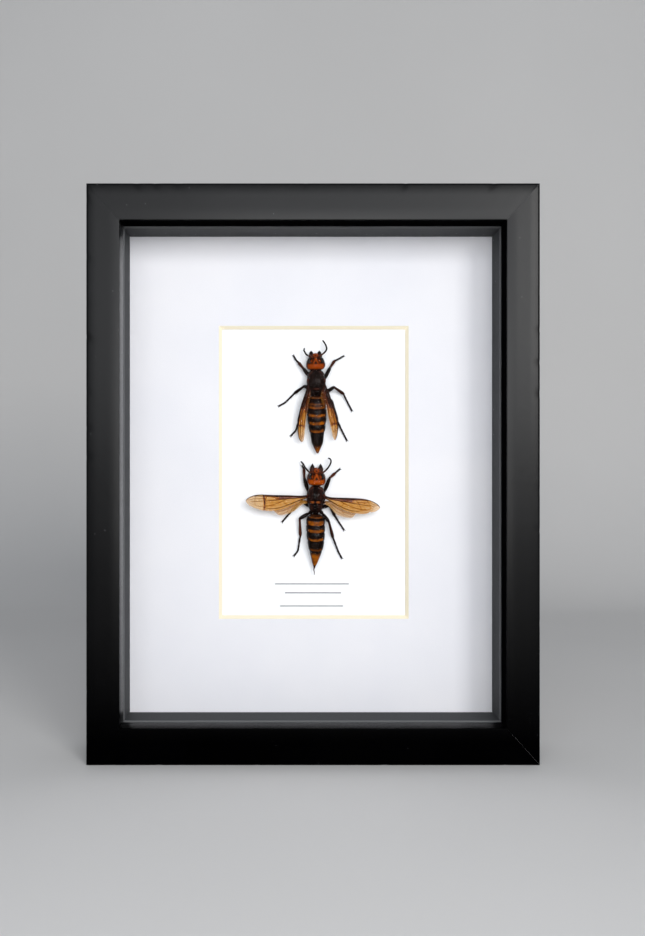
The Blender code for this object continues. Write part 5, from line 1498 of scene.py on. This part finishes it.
def wing_tone(wing, fore, u, v, share, near):
    """Colour and cover of the membrane, with painted highlight and shade along the pleats; near is the
    distance from the nearest vein.
    """
    # streaks is painted highlight and painted shade: lighter and darker stripes that follow the pleats
    streaks = np.sin(v * math.pi * 2 * wing['pleats'] + 0.6 * np.sin(u * 5) + 0.8)
    if fore:
        tone = 0.68 - 0.3 * wing['shade'] + 0.03 * streaks
        inner = 1 - step_up(share, wing['brown'] - 0.08, wing['brown'] + 0.03)
        tone -= 0.4 * inner * (1 - step_up(v, wing['stain'] - 0.09, wing['stain'] + 0.09))
        tone -= wing['shade'] * (1 - step_up(share, wing['brown'] - 0.1, wing['brown'] + 0.1))
        rim = (1 - step_up(v, 0.05, 0.13)) * (1 - step_up(share, 0.62, 0.76))
        tone -= 0.5 * rim
        sharp = 0.015 if wing['crease'] else 0.1
        tip = 0.28 - 0.3 * wing['shade'] - 0.05 * streaks
        tone += tip * step_up(share, wing['pale'] - sharp, wing['pale'] + sharp)
        tone += 0.08 * step_up(v, 0.65, 0.95)
        cover = 0.93 - 0.16 * step_up(share, wing['pale'] - 0.05, 1.0) - 0.06 * step_up(v, 0.6, 1.0)
    else:
        tone = wing['tone'] + 0.04 * streaks + 0.16 * step_up(v, 0.2, 0.8)
        cover = wing['cover'] - 0.1 * v
    tone = tone - 0.18 * np.exp(-(near / 0.26) ** 2)
    tone = tone - 0.35 * (1 - step_up(u, 0.0, 0.13))
    # Painted shade along the crease, lighter about two thirds of the way across the wing
    if wing['crease']:
        bend = wing['crease'] + 0.02 * v**2 + 0.004 * np.sin(v * 9)
        broken = 1 - 0.8 * np.exp(-(((v - 0.68) / 0.06) ** 2))
        tone = tone - wing['fold'] * broken * np.exp(-np.abs((share - bend) / 0.014) ** 2.5)
    margin = np.minimum(np.minimum(v, 1 - v) * 14, (1 - u) * 24)
    tone = tone - 0.14 * (1 - step_up(margin, 0.0, 1.0)) * step_up(u, 0.5, 0.8)
    cover = cover + 0.1 * np.exp(-(near / 0.25) ** 2)
    return tone, np.clip(cover, 0.0, 1.0)


def both_faces(field):
    """A field for the upper face of a sheet and then, turned round, for its lower face."""
    return np.concatenate([field, field[:, ::-1]], axis=1)


def wing_veins(veins, grid, at):
    """The veins as lines in space, and how far each point of the membrane is from one."""
    near = np.full(grid.shape[:2], 1e9)
    lines = []
    for root_r, end_r, dark, points in veins:
        path = smooth_path(points, 14)
        line = at(path[:, 0], np.clip(path[:, 1], 0.0, 1.0))
        near = np.minimum(near, line_distance(grid[..., :2], line[::3, :2]))
        lines.append((line, root_r, end_r, dark))
    return lines, near


def build_membrane(spec, name, grid, u, v, tone, cover, looks):
    """A thin closed sheet; its cover is shared between its two faces."""
    edge = np.minimum(np.minimum(v, 1 - v) * 6, 1.0) * np.minimum((1 - u) * 10, 1.0)
    lift = np.zeros_like(grid)
    lift[..., 2] = MEMBRANE_T / 2 * (0.4 + 0.6 * edge)
    ring = np.concatenate([grid + lift, (grid - lift)[:, ::-1]], axis=1)
    one_face = 1 - np.sqrt(1 - cover)
    veil = Shape().grid(ring, both_faces(tone), both_faces(one_face))
    place_part(spec, veil, f'{name}_membrane', looks['wing'], 'wing_amber', name)


def build_ribs(spec, name, lines, at, looks):
    """The veins as raised ribs and, on a forewing, the dark stigma."""
    fore = name in STIGMA
    ribs = Shape()
    for line, root_r, end_r, dark in lines:
        reach = np.linspace(0.0, 1.0, len(line))
        radius = (root_r + (end_r - root_r) * reach) * (1.0 if fore else 0.85)
        shade = 0.56 - 0.3 * dark + 0.14 * reach[:, None] + np.zeros((1, 12))
        ribs.grid(with_domes(tube_grid(line, radius, 12, radius * 0.75), 0.05), over_domes(shade))
    if fore:
        stigma = STIGMA[name]
        mark = at(np.linspace(stigma - 0.035, stigma + 0.035, 14), np.full(14, 0.1))
        width = 0.36 * np.sin(np.linspace(0.15, math.pi - 0.15, 14))
        ribs.grid(with_domes(tube_grid(mark, width, 16, width * 0.4), 0.05), 0.3)
    place_part(spec, ribs, f'{name}_veins', looks['limb'], 'wing_amber', name)


def build_wing(spec, name, wing, looks):
    """A thin pleated membrane with raised veins."""
    grid, u, v, share, at = wing_surface(wing)
    fore = name in STIGMA
    lines, near = wing_veins(FOREWING_VEINS if fore else HINDWING_VEINS, grid, at)
    tone, cover = wing_tone(wing, fore, u, v, share, near)
    build_membrane(spec, name, grid, u, v, tone, cover, looks)
    build_ribs(spec, name, lines, at, looks)


def build_hornet(spec, looks):
    """All the pieces of one hornet but its sting."""
    build_head(spec, looks)
    for way, side in SIDES:
        build_jaw(spec, way, side, looks)
        build_antenna(spec, side, looks)
    build_thorax(spec, looks)
    build_gaster(spec, looks)
    build_legs(spec, looks)
    for name, wing in spec['wings'].items():
        build_wing(spec, name, wing, looks)


def hornet_looks():
    """The materials that both hornets share."""
    return {
        'head': shell_material('orange_cuticle', HEAD_STOPS, 0.22, 0.008, 9.0, 0.06),
        'thorax': shell_material('dark_cuticle', DARK_STOPS, 0.2, 0.01, 8.0, 0.07),
        'gaster': shell_material('banded_cuticle', BAND_STOPS, 0.2, 0.006, 10.0, 0.055),
        'limb': shell_material('limb_cuticle', DARK_STOPS, 0.24, 0.008, 11.0, 0.06),
        'eye': eye_material(),
        'wing': wing_material(),
        'brown_hair': hair_material('brown_hair', (0.008, 0.004, 0.002), (0.035, 0.017, 0.007)),
        'pale_hair': hair_material('golden_hair', (0.1, 0.02, 0.003), (0.25, 0.08, 0.015)),
    }


def build_hornets():
    """The lower hornet with its sting, then the upper one, whose sting doesn't show."""
    looks = hornet_looks()
    lower = {
        'name': '', 'own_nodes': True, 'place': hornet_place(LOWER_PLACE), 'seed': 3,
        'head': LOWER_HEAD, 'thorax': LOWER_THORAX, 'gaster': LOWER_GASTER,
        'margins': (-9.0, -12.3, -15.7, -19.7, -24.5), 'bands': LOWER_BANDS, 'eye': LOWER_EYE,
        'jaw_back': 0.0, 'jaw_blunt': 0.25, 'antennae': LOWER_ANTENNAE, 'legs': LOWER_LEGS,
        'wings': LOWER_WINGS, 'scutellum_y': -1.15, 'waist_end': -7.0, 'sway': LOWER_SWAY,
        'collar_tone': 0.5, 'face_tone': 0.68, 'band_tone': 0.76, 'roll': 0.11,
        'thorax_spots': [(1.3, -0.95, 1.0, 0.7, 0.9), (0.0, -1.0, 0.3, 0.7, 0.1)],
        'side_tone': 0.2, 'vertex_tone': 0.9,
        'shin_tones': {'front_left': 0.45, 'front_right': 0.5, 'hind_left': 0.46, 'hind_right': 0.34},
    }
    upper = {
        'name': 'upper_', 'own_nodes': False, 'place': hornet_place(UPPER_PLACE), 'seed': 17,
        'head': UPPER_HEAD, 'thorax': UPPER_THORAX, 'gaster': UPPER_GASTER,
        'margins': (-6.9, -11.7, -15.5, -19.3, -22.9), 'bands': UPPER_BANDS, 'eye': UPPER_EYE,
        'jaw_back': UPPER_MANDIBLE_BACK, 'jaw_blunt': 0.7, 'antennae': UPPER_ANTENNAE, 'legs': UPPER_LEGS,
        'wings': UPPER_WINGS, 'scutellum_y': -2.2, 'waist_end': -5.0, 'sway': 0.0,
        'collar_tone': 0.42, 'face_tone': 0.5, 'band_tone': 0.78, 'roll': 0.0,
        'thorax_spots': [(0.0, -2.2, 1.6, 0.7, 0.4), (0.0, 2.5, 0.9, 1.6, 0.24)],
        'side_tone': 0.1, 'vertex_tone': 0.83,
        'shin_tones': {'front_left': 0.45, 'front_right': 0.45, 'middle_right': 0.36},
    }
    build_hornet(lower, looks)
    build_sting(lower, looks)
    build_hornet(upper, looks)


# Stage, camera and light

def build_stage():
    """A pale floor that curves up into a backdrop."""
    start = STAGE_BACK - STAGE_BEND
    profile = [(STAGE_FRONT, 0.0), (start - 100.0, 0.0)]
    for angle in np.linspace(0.0, math.pi / 2, 12):
        profile.append((start + STAGE_BEND * math.sin(angle), STAGE_BEND - STAGE_BEND * math.cos(angle)))
    profile.append((STAGE_BACK, STAGE_TOP))
    across = np.linspace(-STAGE_SIDE, STAGE_SIDE, 3)
    grid = np.array([[(x, y, z - 0.05) for x in across] for y, z in profile])
    mesh = bpy.data.meshes.new('stage')
    rows, columns = grid.shape[:2]
    faces = [(i * columns + j, i * columns + j + 1, (i + 1) * columns + j + 1, (i + 1) * columns + j)
             for i in range(rows - 1) for j in range(columns - 1)]
    mesh.from_pydata((grid.reshape(-1, 3) * MM).tolist(), [], faces)
    mesh.shade_smooth()
    m = Nodes('pale_stage')
    shade = m.noise(m.place(), 0.004, 2.0)
    colour = m.mix(shade, (0.66, 0.65, 0.64), (0.72, 0.71, 0.7))
    mesh.materials.append(m.finish(colour, 0.7, Specular_IOR_Level=0.2))
    add_object('stage', mesh)


def area_light(name, place, aim, size, power, colour):
    """A rectangular light that faces the point it aims at."""
    data = bpy.data.lights.new(name, 'AREA')
    data.shape = 'RECTANGLE'
    data.size, data.size_y = size
    data.energy = power
    data.color = colour
    item = add_object(name, data)
    item.location = place
    item.rotation_euler = (Vector(aim) - Vector(place)).to_track_quat('-Z', 'Y').to_euler()


def build_light():
    """A pale even sky and soft boxes."""
    scene = bpy.context.scene
    world = bpy.data.worlds.new('studio')
    world.use_nodes = True
    background = world.node_tree.nodes['Background']
    background.inputs['Color'].default_value = SKY_COLOUR
    background.inputs['Strength'].default_value = SKY_STRENGTH
    scene.world = world
    scene.view_settings.view_transform = 'Standard'
    scene.view_settings.look = 'None'
    for light in LIGHTS:
        area_light(*light)


def build_camera():
    """The photo's camera: level, facing the frame, its picture shifted off the axis."""
    data = bpy.data.cameras.new('camera')
    data.sensor_width = SENSOR_MM
    data.lens = SENSOR_MM * CAMERA_DISTANCE / (PHOTO_H * PIXEL_MM)
    data.shift_x = (PHOTO_W / 2 - AXIS_PIXEL[0]) / PHOTO_H
    data.shift_y = (AXIS_PIXEL[1] - PHOTO_H / 2) / PHOTO_H
    data.clip_start = 0.01
    data.clip_end = 10.0
    camera = add_object('camera', data)
    camera.location = Vector((CAMERA_X, FRAME_LOW[1] - CAMERA_DISTANCE, CAMERA_Z)) * MM
    camera.rotation_euler = (math.radians(90), 0.0, 0.0)
    bpy.context.scene.camera = camera


build_camera()
build_light()
build_stage()
build_frame()
dress_solids()
build_nails()
build_label()
build_hornets()
